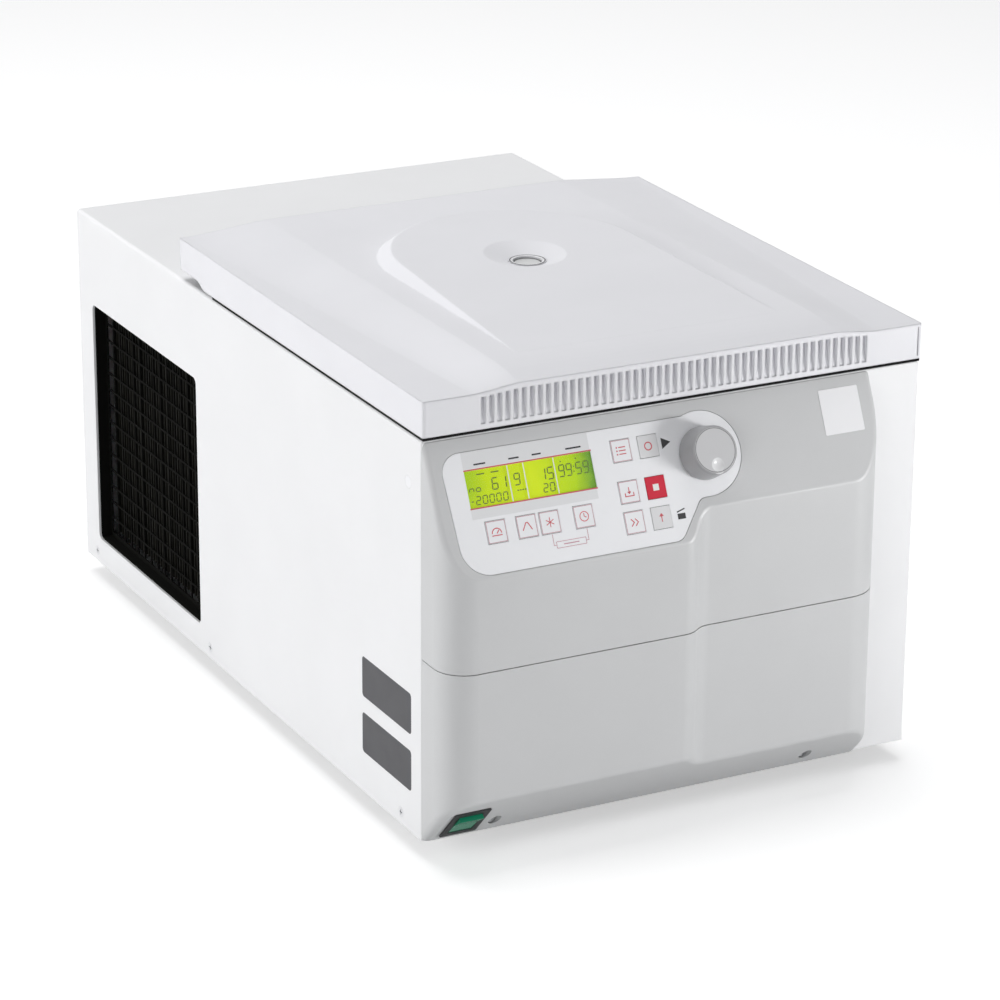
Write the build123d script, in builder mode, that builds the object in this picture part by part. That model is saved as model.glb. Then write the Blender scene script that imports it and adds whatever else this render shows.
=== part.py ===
from build123d import *
from math import atan, atan2, cos, exp, radians, sin, tan
import os

# Refrigerated benchtop centrifuge.
# Frame: X to the right, Y to the back, Z up, origin on the bench under the middle. Millimetres.

os.makedirs("parts", exist_ok=True)

# Case
body_width = 400.0
body_depth = 635.0
housing_height = 298.0
sheet = 2.0
foot_height = 15.0
foot_inset = 55.0
louvre_depth = 5.3

# Front cover
cover_wall = 3.0
cover_left_depth = 42.3
cover_right_depth = 33.0
cover_corner_radius = 23.0
cover_end_x = 158.0
cover_return = 4.0
step_left = -14.0
step_right = 10.0
seam_height = 138.5
seam_gap = 0.6
panel_tilt = 25.05
bevel_rise = 41.5
bevel_run = 40.3
bevel_foot = 2.0

# Lid
lid_gap = 2.6
lid_overhang = 2.5
lid_length = 420.5
lid_wall = 3.0
lid_front_wall = 7.5
wing_front = 28.6
wing_rear = 33.0
plateau_inner = 127.5
plateau_outer = 162.0
plateau_outer_rear = 196.0
plateau_front = 38.0
plateau_rise = 0.5
front_roll = 6.0
front_roll_reach = 18.0
lid_corner_radius = 2.5
hinge_from_rear = 15.0
hinge_above_deck = 22.0
hinge_x = 110.0

# Chamber and drive
chamber_back = 228.0
bowl_radius = 135.0
bowl_wall = 1.5
bowl_floor = 175.0
gasket_height = 2.5
guard_radius = 168.0
shaft_radius = 8.5
running_gap = 0.05

# Derived places
half_width = body_width / 2
front = -(body_depth + louvre_depth - cover_left_depth) / 2
rear = front + body_depth
base = foot_height
deck = base + housing_height
seam = base + seam_height
chamber_y = front + chamber_back
lid_front = front - lid_overhang
lid_rear = lid_front + lid_length
hinge_y = lid_rear - hinge_from_rear
hinge_z = deck + hinge_above_deck
lid_bottom = deck + lid_gap

panel_plane = Plane(
    origin=(0, front, deck),
    x_dir=(1, 0, 0),
    z_dir=(0, -cos(radians(panel_tilt)), sin(radians(panel_tilt))),
)
bevel_slope = atan2(bevel_rise, bevel_run)
bevel_plane = Plane(
    origin=(0, front - bevel_foot, base),
    x_dir=(1, 0, 0),
    z_dir=(0, -sin(bevel_slope), -cos(bevel_slope)),
)


def facing_front(y):
    """Plane that looks to the front at the given y, with Z as its upward direction."""
    return Plane(origin=(0, y, 0), x_dir=(1, 0, 0), z_dir=(0, -1, 0))


def on_plane(edge, plane, reach=0.02):
    """True when both ends and the middle of an edge lie in the plane."""
    points = [edge @ 0, edge @ 0.5, edge @ 1]
    return all(abs(plane.to_local_coords(p).Z) < reach for p in points)


# Housing: one bent and welded sheet shell with both sides, the deck and the front strip
bend_radius = 3.0
grille_front = 393.0
grille_rear = 607.0
grille_low = 22.0
grille_high = 225.0
grille_corner = 5.0
deck_hole_radius = 137.0
hinge_slot = (12.0, 20.0)
hook_slot = (32.0, 20.0)
hook_slot_back = 32.0
cable_window = (270.0, 90.0)
cable_window_place = (-35.0, base + 200.0)
screw_rows = (33.0, 375.0, 612.0)
screw_up = 9.0
screw_radius = 1.95
screw_head_radius = 4.0
cover_screw_x = (-148.8, 106.9)
cover_screw_up = 11.5
plug_back = 20.0
plug_up = 262.6
plug_radius = 4.5
plug_stem_radius = 3.5
plate_size = (80.0, 31.0)
plate_back = 56.0
plate_rows = (47.0, 90.5)
plate_thickness = 0.6
flange = 12.0

with BuildPart() as housing:
    with BuildSketch(Plane.XY.offset(base)):
        with Locations((0, front + body_depth / 2)):
            Rectangle(body_width, body_depth)
    extrude(amount=housing_height)
    top_bends = housing.edges().filter_by(Axis.Y).group_by(Axis.Z)[-1]
    fillet(top_bends, radius=bend_radius)
    front_corners = housing.edges().filter_by(Axis.Z).group_by(Axis.Y)[0]
    fillet(front_corners, radius=1.5)
    with BuildSketch(Plane.XY.offset(base)):
        with Locations((0, front + sheet + body_depth / 2)):
            Rectangle(body_width - 2 * sheet, body_depth)
    extrude(amount=housing_height - sheet, mode=Mode.SUBTRACT)
    # return flange that carries the rear panel
    with BuildSketch(facing_front(rear - sheet)):
        with Locations((0, base + (housing_height - sheet) / 2)):
            Rectangle(body_width - 2 * sheet, housing_height - sheet)
            Rectangle(
                body_width - 2 * (sheet + flange),
                housing_height - sheet - 2 * flange,
                mode=Mode.SUBTRACT,
            )
    extrude(amount=sheet)
    # openings in the deck for the rotor chamber, the lid hook and the two hinges
    with BuildSketch(Plane.XY.offset(deck)):
        with Locations((0, chamber_y)):
            Circle(deck_hole_radius)
        with Locations((0, front + hook_slot_back)):
            RectangleRounded(*hook_slot, radius=3)
        with Locations((-hinge_x, hinge_y), (hinge_x, hinge_y)):
            RectangleRounded(*hinge_slot, radius=2)
    extrude(amount=-sheet, mode=Mode.SUBTRACT)
    # condenser opening and plug hole in the left side
    with BuildSketch(Plane.YZ.offset(-half_width)):
        with Locations((front + (grille_front + grille_rear) / 2, base + (grille_low + grille_high) / 2)):
            RectangleRounded(grille_rear - grille_front, grille_high - grille_low, radius=grille_corner)
        with Locations((front + plug_back, base + plug_up)):
            Circle(plug_stem_radius)
    extrude(amount=sheet, mode=Mode.SUBTRACT)
    with BuildSketch(Plane.YZ.offset(-half_width)):
        with Locations((front + plug_back, base + plug_up)):
            Circle(plug_radius)
    extrude(amount=1.0, mode=Mode.SUBTRACT)
    # shallow seats for the two label plates
    with BuildSketch(Plane.YZ.offset(-half_width)):
        with Locations(*[(front + plate_back, base + row) for row in plate_rows]):
            RectangleRounded(*plate_size, radius=3)
    extrude(amount=plate_thickness, mode=Mode.SUBTRACT)
    # cable window and screw holes behind the front cover
    with BuildSketch(facing_front(front)):
        with Locations(cable_window_place):
            RectangleRounded(*cable_window, radius=8)
        with Locations(*[(x, base + cover_screw_up) for x in cover_screw_x]):
            Circle(screw_radius + 0.1)
    extrude(amount=-sheet, mode=Mode.SUBTRACT)
    # countersunk holes along the bottom edge of both sides
    for side in (-1, 1):
        seat = Plane(origin=(side * half_width, 0, 0), x_dir=(0, side, 0), z_dir=(side, 0, 0))
        with Locations(*[seat * Location((side * (front + row), base + screw_up, 0)) for row in screw_rows]):
            CounterSinkHole(screw_radius + 0.05, screw_head_radius, depth=sheet + 1)
housing.part.label = "housing"
export_step(housing.part, "parts/housing.step")

# Base plate: pan with turned-up edges that the housing is screwed to
pan_gap = 0.3
pan_edge = 16.0
pan_width = body_width - 2 * (sheet + pan_gap)
pan_front = front + sheet + pan_gap
pan_rear = rear - 2 * sheet - pan_gap
with BuildPart() as base_plate:
    with BuildSketch(Plane.XY.offset(base)):
        with Locations((0, (pan_front + pan_rear) / 2)):
            Rectangle(pan_width, pan_rear - pan_front)
    extrude(amount=pan_edge)
    with BuildSketch(Plane.XY.offset(base + sheet)):
        with Locations((0, (pan_front + pan_rear) / 2)):
            Rectangle(pan_width - 2 * sheet, pan_rear - pan_front - 2 * sheet)
    extrude(amount=pan_edge, mode=Mode.SUBTRACT)
    with BuildSketch(Plane.YZ.offset(-half_width)):
        with Locations(*[(front + row, base + screw_up) for row in screw_rows]):
            Circle(screw_radius + 0.05)
    extrude(amount=body_width, mode=Mode.SUBTRACT)
    with BuildSketch(facing_front(front)):
        with Locations(*[(x, base + cover_screw_up) for x in cover_screw_x]):
            Circle(screw_radius + 0.1)
    extrude(amount=-10, mode=Mode.SUBTRACT)
    # bottom louvres let air in under the motor
    with BuildSketch(Plane.XY.offset(base)):
        with Locations((0, front + 60)):
            with GridLocations(0, 12, 1, 4):
                SlotOverall(140, 5)
    extrude(amount=sheet, mode=Mode.SUBTRACT)
base_plate.part.label = "base_plate"
export_step(base_plate.part, "parts/base_plate.step")

# Feet: four rubber cones
foot_places = [
    (side * (half_width - foot_inset), y)
    for side in (-1, 1)
    for y in (front + foot_inset, rear - foot_inset)
]
foot_radius = 16.0
with BuildPart() as feet:
    with BuildSketch():
        with Locations(*foot_places):
            Circle(foot_radius)
    extrude(amount=foot_height, taper=8)
    with BuildSketch():
        with Locations(*foot_places):
            Circle(6)
    extrude(amount=6, mode=Mode.SUBTRACT)
    foot_rims = feet.edges().filter_by(GeomType.CIRCLE).group_by(Axis.Z)[0].sort_by(SortBy.RADIUS)[-4:]
    fillet(foot_rims, radius=1.2)
feet.part.label = "feet"
export_step(feet.part, "parts/feet.step")

# Rear panel: flat sheet with two columns of pressed louvres and the inlet cut-out
louvre_width = 110.0
louvre_rise = 9.0
louvre_count = 8
louvre_pitch = 20.0
louvre_columns = (-110.0, 110.0)
louvre_low = base + 110.0
inlet_place = (-120.0, base + 48.0)
inlet_cut = (28.0, 48.0)
rear_screw_places = [
    (side * (half_width - sheet - flange / 2), base + height)
    for side in (-1, 1)
    for height in (30.0, 150.0, 270.0)
]
with BuildPart() as rear_panel:
    with BuildSketch(facing_front(rear)):
        with Locations((0, base + (housing_height - sheet) / 2)):
            Rectangle(body_width - 2 * sheet - 0.6, housing_height - sheet - 0.6)
    extrude(amount=sheet - 0.05)
    for column in louvre_columns:
        for row in range(louvre_count):
            low = louvre_low + row * louvre_pitch
            with BuildSketch(Plane.YZ.offset(column - louvre_width / 2)):
                with BuildLine():
                    Line((rear - 0.5, low + louvre_rise), (rear - 0.5, low))
                    Line((rear - 0.5, low), (rear + louvre_depth, low))
                    SagittaArc((rear + louvre_depth, low), (rear - 0.5, low + louvre_rise), 1.5)
                make_face()
            extrude(amount=louvre_width)
            with BuildSketch(Plane.YZ.offset(column - louvre_width / 2 + 1.5)):
                with BuildLine():
                    Line((rear - sheet - 1, low + louvre_rise - 2.5), (rear - sheet - 1, low - 1))
                    Line((rear - sheet - 1, low - 1), (rear + louvre_depth - 1.5, low - 1))
                    Line((rear + louvre_depth - 1.5, low - 1), (rear + louvre_depth - 1.5, low + 0.8))
                    Line((rear + louvre_depth - 1.5, low + 0.8), (rear - 0.5, low + louvre_rise - 2.5))
                    Line((rear - 0.5, low + louvre_rise - 2.5), (rear - sheet - 1, low + louvre_rise - 2.5))
                make_face()
            extrude(amount=louvre_width - 3, mode=Mode.SUBTRACT)
    with BuildSketch(facing_front(rear)):
        with Locations(inlet_place):
            Rectangle(*inlet_cut)
        with Locations(*rear_screw_places):
            Circle(screw_radius + 0.05)
    extrude(amount=sheet, mode=Mode.SUBTRACT)
rear_panel.part.label = "rear_panel"
export_step(rear_panel.part, "parts/rear_panel.step")

# Power inlet: flanged socket with three contact pins
inlet_flange = (31.0, 59.0)
inlet_body = (27.0, 47.0)
inlet_depth = 26.0
socket_size = (17.0, 25.0)
socket_depth = 17.0
pin_length = 9.0
with BuildPart() as power_inlet:
    with BuildSketch(facing_front(rear)):
        with Locations(inlet_place):
            RectangleRounded(*inlet_flange, radius=3)
    extrude(amount=-2.5)
    with BuildSketch(facing_front(rear)):
        with Locations(inlet_place):
            RectangleRounded(*inlet_body, radius=2)
    extrude(amount=inlet_depth)
    with BuildSketch(facing_front(rear + 2.5)):
        with Locations((inlet_place[0], inlet_place[1] + 8)):
            RectangleRounded(*socket_size, radius=3)
    extrude(amount=socket_depth + 2.5, mode=Mode.SUBTRACT)
    with BuildSketch(facing_front(rear - socket_depth)):
        with Locations((inlet_place[0], inlet_place[1] + 8)):
            with Locations((0, 7), (0, -7), (4, 0)):
                Rectangle(4, 2)
    extrude(amount=-pin_length)
    # drawer that holds the two fuses
    with BuildSketch(facing_front(rear + 2.5)):
        with Locations((inlet_place[0], inlet_place[1] - 14)):
            RectangleRounded(19, 9, radius=1)
            RectangleRounded(18, 8, radius=1, mode=Mode.SUBTRACT)
    extrude(amount=2, mode=Mode.SUBTRACT)
power_inlet.part.label = "power_inlet"
export_step(power_inlet.part, "parts/power_inlet.step")


# Front covers: two thin mouldings over one plan with a soft step right of the panel
def cover_plan(inset, back):
    """Plan of the front cover with its walls moved in by inset, closed along y = back."""
    left = -half_width + inset
    left_face = front - cover_left_depth + inset
    right_face = front - cover_right_depth + inset
    corner = cover_corner_radius - inset
    end = cover_end_x - inset
    end_arc = front - cover_return
    step = cover_left_depth - cover_right_depth
    turn = 2 * atan(step / (step_right - step_left))
    step_middle = (
        (step_left + step_right) / 2 - inset * sin(turn),
        front - (cover_left_depth + cover_right_depth) / 2 + inset * cos(turn),
    )
    with BuildSketch(mode=Mode.PRIVATE) as plan:
        with BuildLine():
            Line((left, back), (left, left_face + corner))
            TangentArc((left, left_face + corner), (left + corner, left_face), tangent=(0, -1))
            Line((left + corner, left_face), (step_left, left_face))
            TangentArc((step_left, left_face), step_middle, tangent=(1, 0))
            TangentArc(step_middle, (step_right, right_face), tangent=(cos(turn), sin(turn)))
            Line((step_right, right_face), (end - (end_arc - right_face), right_face))
            TangentArc((end - (end_arc - right_face), right_face), (end, end_arc), tangent=(1, 0))
            Line((end, end_arc), (end, back))
            Line((end, back), (left, back))
        make_face()
    return plan.sketch


# Places on the slanted panel, as x and the distance down the slope from the deck edge
key_size = (15.0, 15.5)
key_gap = 0.3
left_key_x = (-157.0, -133.6, -115.9, -89.3)
left_key_down = 69.0
right_key_x = (-51.5, -30.2)
right_key_down = (28.6, 57.7, 79.2)
key_places = [(x, -left_key_down) for x in left_key_x]
key_places += [(x, -down) for down in right_key_down for x in right_key_x]
display_place = (-123.9, -38.0)
display_size = (98.0, 25.6)
knob_place = (11.3, -40.0)
knob_radius = 19.0
lobe_radius = 30.3
overlay_left = -189.5
overlay_top = -12.0
overlay_bottom = -97.5
overlay_low_left = (overlay_left + 4.0, overlay_bottom)
overlay_low_right = (-17.0, overlay_bottom)
lobe_foot = (3.0, knob_place[1] - lobe_radius)
overlay_corners = [
    ((overlay_left, overlay_top), 14.0),
    (overlay_low_left, 22.0),
    (overlay_low_right, 10.0),
    (lobe_foot, 7.0),
]
overlay_thickness = 0.9
overlay_recess = 1.0
overlay_groove = 0.4


def overlay_outline(grow):
    """Outline of the panel foil in the slanted plane: a tapered field and a lobe round the knob."""
    with BuildSketch(mode=Mode.PRIVATE) as outline:
        with BuildLine():
            Polyline(
                (overlay_left, overlay_top),
                (knob_place[0], overlay_top),
                (knob_place[0], knob_place[1] - lobe_radius),
                lobe_foot,
                overlay_low_right,
                overlay_low_left,
                close=True,
            )
        make_face()
        for corner, corner_radius in overlay_corners:
            fillet(outline.vertices().sort_by_distance(corner)[0], radius=corner_radius)
        with Locations(knob_place):
            Circle(lobe_radius)
        if grow > 0:
            offset(amount=grow, kind=Kind.ARC)
    return outline.sketch


with BuildPart() as upper_cavity:
    with BuildSketch(Plane.XY.offset(seam - 1)):
        add(cover_plan(cover_wall, front + 1))
    extrude(amount=deck - seam)
    split(bisect_by=panel_plane.offset(-cover_wall), keep=Keep.BOTTOM)

panel_edge_radius = 5.0
cover_top_gap = 1.5
with BuildPart() as upper_front_cover:
    with BuildSketch(Plane.XY.offset(seam + seam_gap / 2)):
        add(cover_plan(0, front))
    extrude(amount=deck - seam - seam_gap / 2 - cover_top_gap)
    split(bisect_by=panel_plane, keep=Keep.BOTTOM)
    panel_edges = upper_front_cover.edges().filter_by(lambda e: on_plane(e, panel_plane))
    fillet(panel_edges.sort_by(Axis.Z)[:-1], radius=panel_edge_radius)
    add(upper_cavity.part, mode=Mode.SUBTRACT)
    with BuildSketch(panel_plane):
        add(overlay_outline(overlay_groove))
    extrude(amount=-overlay_recess, mode=Mode.SUBTRACT)
    with BuildSketch(panel_plane):
        with Locations(display_place):
            Rectangle(display_size[0] + 3, display_size[1] + 3)
        with Locations(*key_places):
            Rectangle(key_size[0] + 2 * key_gap, key_size[1] + 2 * key_gap)
        with Locations(knob_place):
            Circle(3.7)
    extrude(amount=-2 * cover_wall, mode=Mode.SUBTRACT)
upper_front_cover.part.label = "upper_front_cover"
export_step(upper_front_cover.part, "parts/upper_front_cover.step")

# Lower cover with the bottom bevel, the switch opening and two screw bosses
switch_place = (-175.4, 25.0)
switch_flange = (28.5, 38.0)
switch_cut = (23.0, 31.4)
boss_radius = 7.0
boss_floor = 4.5
head_hole_radius = 4.8
with BuildPart() as lower_cavity:
    with BuildSketch(Plane.XY.offset(base - 1)):
        add(cover_plan(cover_wall, front + 1))
    extrude(amount=seam - base + 1)
    split(bisect_by=bevel_plane.offset(-cover_wall), keep=Keep.BOTTOM)
    with BuildSketch(facing_front(front + 2)):
        with Locations(*[(x, base + cover_screw_up) for x in cover_screw_x]):
            Circle(boss_radius)
    extrude(amount=cover_left_depth, mode=Mode.SUBTRACT)

bevel_edge_radius = 6.0
with BuildPart() as lower_front_cover:
    with BuildSketch(Plane.XY.offset(base)):
        add(cover_plan(0, front))
    extrude(amount=seam - seam_gap / 2 - base)
    split(bisect_by=bevel_plane, keep=Keep.BOTTOM)
    bevel_edges = lower_front_cover.edges().filter_by(lambda e: on_plane(e, bevel_plane))
    fillet(bevel_edges.sort_by(Axis.Z)[1:], radius=bevel_edge_radius)
    add(lower_cavity.part, mode=Mode.SUBTRACT)
    with BuildSketch(bevel_plane):
        with Locations(switch_place):
            Rectangle(*switch_cut)
    extrude(amount=-2 * cover_wall, mode=Mode.SUBTRACT)
    with BuildSketch(facing_front(front)):
        with Locations(*[(x, base + cover_screw_up) for x in cover_screw_x]):
            Circle(screw_radius + 0.1)
    extrude(amount=boss_floor, mode=Mode.SUBTRACT)
    with BuildSketch(facing_front(front - boss_floor)):
        with Locations(*[(x, base + cover_screw_up) for x in cover_screw_x]):
            Circle(head_hole_radius)
    extrude(amount=cover_left_depth, mode=Mode.SUBTRACT)
lower_front_cover.part.label = "lower_front_cover"
export_step(lower_front_cover.part, "parts/lower_front_cover.step")

# Panel foil
with BuildPart() as panel_overlay:
    with BuildSketch(panel_plane.offset(-overlay_recess)):
        add(overlay_outline(0))
        with Locations(display_place):
            Rectangle(*display_size, mode=Mode.SUBTRACT)
        with Locations(*key_places):
            Rectangle(key_size[0] + 2 * key_gap, key_size[1] + 2 * key_gap, mode=Mode.SUBTRACT)
        with Locations(knob_place):
            Circle(4.2, mode=Mode.SUBTRACT)
    extrude(amount=overlay_thickness)
panel_overlay.part.label = "panel_overlay"
export_step(panel_overlay.part, "parts/panel_overlay.step")

# Display: clear window in the foil and the module behind it
with BuildPart() as display_window:
    with BuildSketch(panel_plane.offset(-overlay_recess)):
        with Locations(display_place):
            Rectangle(display_size[0] - 0.1, display_size[1] - 0.1)
    extrude(amount=overlay_thickness)
display_window.part.label = "display_window"
export_step(display_window.part, "parts/display_window.step")

board_depth = 8.0
board_thickness = 1.6
with BuildPart() as display_module:
    with BuildSketch(panel_plane.offset(-overlay_recess - 0.2)):
        with Locations(display_place):
            Rectangle(display_size[0] + 1.6, display_size[1] + 1.6)
    extrude(amount=-(board_depth - overlay_recess - 0.3))
display_module.part.label = "display_module"
export_step(display_module.part, "parts/display_module.step")

# Control board: one board parallel to the panel with a switch dome under each key
dome_height = 1.3
board_bottom = 93.0
with BuildPart() as control_board:
    with BuildSketch(panel_plane.offset(-board_depth)):
        with BuildLine():
            Polyline(
                (-176, -25),
                (28, -25),
                (28, -58),
                (-20, -58),
                (-20, -board_bottom),
                (-176, -board_bottom),
                close=True,
            )
        make_face()
    extrude(amount=-board_thickness)
    with BuildSketch(panel_plane.offset(-board_depth)):
        with Locations(*key_places):
            Rectangle(6, 6)
    extrude(amount=dome_height)
control_board.part.label = "control_board"
export_step(control_board.part, "parts/control_board.step")

# Ten keys, each a cap with a stem that reaches its switch dome
key_proud = 0.3
key_travel = 0.5
stem_end = board_depth - dome_height - key_travel - 0.1
for number, place in enumerate(key_places, start=1):
    with BuildPart() as key:
        with BuildSketch(panel_plane.offset(-overlay_recess + overlay_thickness + key_proud)):
            with Locations(place):
                RectangleRounded(*key_size, radius=0.6)
        extrude(amount=-4.0)
        with BuildSketch(panel_plane.offset(-stem_end)):
            with Locations(place):
                Rectangle(5, 5)
        extrude(amount=stem_end - 3.0)
    key.part.label = f"key_{number:02d}"
    export_step(key.part, f"parts/key_{number:02d}.step")

# Selector knob with a finger dimple, its encoder and the encoder shaft
knob_height = 19.0
knob_face_radius = 17.4
knob_lift = 0.9
encoder_shaft_radius = 3.0
dimple_place = 10.5
dimple_sphere = 8.0
dimple_depth = 1.8
knob_plane = Plane(
    origin=panel_plane.from_local_coords(Vector(knob_place[0], knob_place[1], 0)),
    x_dir=panel_plane.x_dir,
    z_dir=panel_plane.z_dir,
)
with BuildPart() as selector_knob:
    with BuildSketch(Plane(knob_plane.origin, x_dir=knob_plane.x_dir, z_dir=-knob_plane.y_dir)):
        with BuildLine():
            Polyline(
                (0, knob_lift),
                (knob_radius, knob_lift),
                (knob_radius, knob_lift + 2),
                (knob_face_radius, knob_height),
                (0, knob_height),
                close=True,
            )
        make_face()
    revolve(axis=Axis(knob_plane.origin, knob_plane.z_dir))
    rim = selector_knob.edges().filter_by(lambda e: on_plane(e, knob_plane.offset(knob_height)))
    fillet(rim, radius=1.8)
    with BuildSketch(knob_plane):
        Circle(encoder_shaft_radius + 0.02)
    extrude(amount=14.2, mode=Mode.SUBTRACT)
    with Locations(knob_plane * Location((0, -dimple_place, knob_height + dimple_sphere - dimple_depth))):
        Sphere(dimple_sphere, mode=Mode.SUBTRACT)
selector_knob.part.label = "selector_knob"
export_step(selector_knob.part, "parts/selector_knob.step")

encoder_body_front = 3.1
with BuildPart() as encoder:
    with BuildSketch(knob_plane.offset(-encoder_body_front)):
        Rectangle(13, 13)
    extrude(amount=-(board_depth - encoder_body_front - 0.05))
    with BuildSketch(knob_plane.offset(-encoder_body_front)):
        Circle(3.5)
    extrude(amount=encoder_body_front + 0.5)
    with BuildSketch(knob_plane.offset(-7.0)):
        Circle(encoder_shaft_radius + running_gap)
    extrude(amount=10, mode=Mode.SUBTRACT)
encoder.part.label = "encoder"
export_step(encoder.part, "parts/encoder.step")

with BuildPart() as encoder_shaft:
    with BuildSketch(knob_plane.offset(-6.8)):
        Circle(encoder_shaft_radius)
    extrude(amount=6.8 + 14.0)
encoder_shaft.part.label = "encoder_shaft"
export_step(encoder_shaft.part, "parts/encoder_shaft.step")

# Mains switch: snap-in frame and the green rocker on its pivot, tipped to one side
switch_origin = bevel_plane.from_local_coords(Vector(switch_place[0], switch_place[1], 0))
switch_plane = Plane(origin=switch_origin, x_dir=bevel_plane.x_dir, z_dir=bevel_plane.z_dir)
well_size = (19.0, 27.6)
rocker_size = (18.4, 26.0)
switch_depth = 10.0
rocker_tilt = 8.0
pivot_depth = 2.0
pivot_radius = 1.5
with BuildPart() as switch_frame:
    with BuildSketch(switch_plane):
        RectangleRounded(*switch_flange, radius=1.5)
    extrude(amount=1.2)
    with BuildSketch(switch_plane):
        Rectangle(switch_cut[0] - 0.4, switch_cut[1] - 0.4)
    extrude(amount=-switch_depth)
    with BuildSketch(switch_plane.offset(1.2)):
        Rectangle(*well_size)
    extrude(amount=-switch_depth, mode=Mode.SUBTRACT)
    with BuildSketch(Plane(switch_plane.from_local_coords(Vector(-switch_cut[0] / 2, 0, -pivot_depth)),
                           x_dir=switch_plane.y_dir, z_dir=switch_plane.x_dir)):
        Circle(pivot_radius + running_gap)
    extrude(amount=switch_cut[0], mode=Mode.SUBTRACT)
switch_frame.part.label = "switch_frame"
export_step(switch_frame.part, "parts/switch_frame.step")

rocker_pivot = Plane(
    origin=switch_plane.from_local_coords(Vector(0, 0, -pivot_depth)),
    x_dir=switch_plane.x_dir,
    z_dir=switch_plane.z_dir,
)
rocker_plane = rocker_pivot.rotated((rocker_tilt, 0, 0))
rocker_side = Plane(rocker_plane.from_local_coords(Vector(-rocker_size[0] / 2, 0, 0)),
                    x_dir=rocker_plane.y_dir, z_dir=rocker_plane.x_dir)
half_rocker = rocker_size[1] / 2
with BuildPart() as mains_rocker:
    with BuildSketch(rocker_side):
        with BuildLine():
            Polyline(
                (-half_rocker + 2, -4),
                (half_rocker - 2, -4),
                (half_rocker, 4.6),
                (0, 3.4),
                (-half_rocker, 4.6),
                close=True,
            )
        make_face()
    extrude(amount=rocker_size[0])
    with BuildSketch(Plane(rocker_plane.from_local_coords(Vector(-10.9, 0, 0)),
                           x_dir=rocker_plane.y_dir, z_dir=rocker_plane.x_dir)):
        Circle(pivot_radius)
    extrude(amount=21.8)
mains_rocker.part.label = "mains_rocker"
export_step(mains_rocker.part, "parts/mains_rocker.step")

# Case screws: countersunk ones in both sides and the rear, pan heads in the front bosses
screw_length = 8.0
with BuildPart() as case_screws:
    for side in (-1, 1):
        for row in screw_rows:
            head = Plane(origin=(side * half_width, front + row, base + screw_up), z_dir=(side, 0, 0))
            with BuildSketch(head):
                Circle(screw_head_radius - 0.1)
            extrude(amount=-(screw_head_radius - screw_radius), taper=45)
            with BuildSketch(head):
                Circle(screw_radius - 0.02)
            extrude(amount=-screw_length)
            with BuildSketch(head):
                Rectangle(4.2, 0.9)
                Rectangle(0.9, 4.2)
            extrude(amount=-1.2, mode=Mode.SUBTRACT)
    for x in cover_screw_x:
        head = Plane(origin=(x, front - boss_floor, base + cover_screw_up), z_dir=(0, -1, 0))
        with BuildSketch(head):
            Circle(screw_head_radius)
        extrude(amount=2.6)
        with BuildSketch(head):
            Circle(screw_radius)
        extrude(amount=-screw_length - 2)
        with BuildSketch(head.offset(2.6)):
            Rectangle(4.2, 0.9)
            Rectangle(0.9, 4.2)
        extrude(amount=-1.4, mode=Mode.SUBTRACT)
    for place in rear_screw_places:
        head = Plane(origin=(place[0], rear, place[1]), z_dir=(0, 1, 0))
        with BuildSketch(head):
            Circle(screw_head_radius)
        extrude(amount=2.2)
        with BuildSketch(head):
            Circle(screw_radius)
        extrude(amount=-(sheet - 0.1))
        with BuildSketch(head.offset(2.2)):
            Rectangle(4.2, 0.9)
            Rectangle(0.9, 4.2)
        extrude(amount=-1.2, mode=Mode.SUBTRACT)
case_screws.part.label = "case_screws"
export_step(case_screws.part, "parts/case_screws.step")

# Plug of the emergency lid release and the two blank label plates, all in the left side
with BuildPart() as release_plug:
    with BuildSketch(Plane.YZ.offset(-half_width)):
        with Locations((front + plug_back, base + plug_up)):
            Circle(plug_radius - 0.1)
    extrude(amount=1.0)
    with BuildSketch(Plane.YZ.offset(-half_width)):
        with Locations((front + plug_back, base + plug_up)):
            Circle(plug_stem_radius - 0.05)
    extrude(amount=6)
release_plug.part.label = "release_plug"
export_step(release_plug.part, "parts/release_plug.step")

with BuildPart() as label_plates:
    with BuildSketch(Plane.YZ.offset(-half_width)):
        with Locations(*[(front + plate_back, base + row) for row in plate_rows]):
            RectangleRounded(*plate_size, radius=3)
    extrude(amount=plate_thickness)
label_plates.part.label = "label_plates"
export_step(label_plates.part, "parts/label_plates.step")

# Condenser grille: flanged tray behind the opening in the left side, with a mesh floor
grille_lap = 5.0
grille_wall = 1.2
grille_depth = 10.0
grille_holes = (15, 14)
hole_pitch = 14.0
hole_size = 12.4
grille_middle = (front + (grille_front + grille_rear) / 2, base + (grille_low + grille_high) / 2)
grille_size = (grille_rear - grille_front, grille_high - grille_low)
grille_x = -half_width + sheet + 0.1
with BuildPart() as condenser_grille:
    with BuildSketch(Plane.YZ.offset(grille_x)):
        with Locations(grille_middle):
            Rectangle(grille_size[0] + 2 * grille_lap, grille_size[1] + 2 * grille_lap)
            Rectangle(grille_size[0] - 1, grille_size[1] - 1, mode=Mode.SUBTRACT)
    extrude(amount=grille_wall)
    with BuildSketch(Plane.YZ.offset(grille_x)):
        with Locations(grille_middle):
            Rectangle(grille_size[0], grille_size[1])
            Rectangle(grille_size[0] - 2 * grille_wall, grille_size[1] - 2 * grille_wall, mode=Mode.SUBTRACT)
    extrude(amount=grille_depth)
    with BuildSketch(Plane.YZ.offset(grille_x + grille_depth - grille_wall)):
        with Locations(grille_middle):
            Rectangle(grille_size[0], grille_size[1])
            with GridLocations(hole_pitch, hole_pitch, *grille_holes):
                Rectangle(hole_size, hole_size, mode=Mode.SUBTRACT)
    extrude(amount=grille_wall)
condenser_grille.part.label = "condenser_grille"
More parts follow.
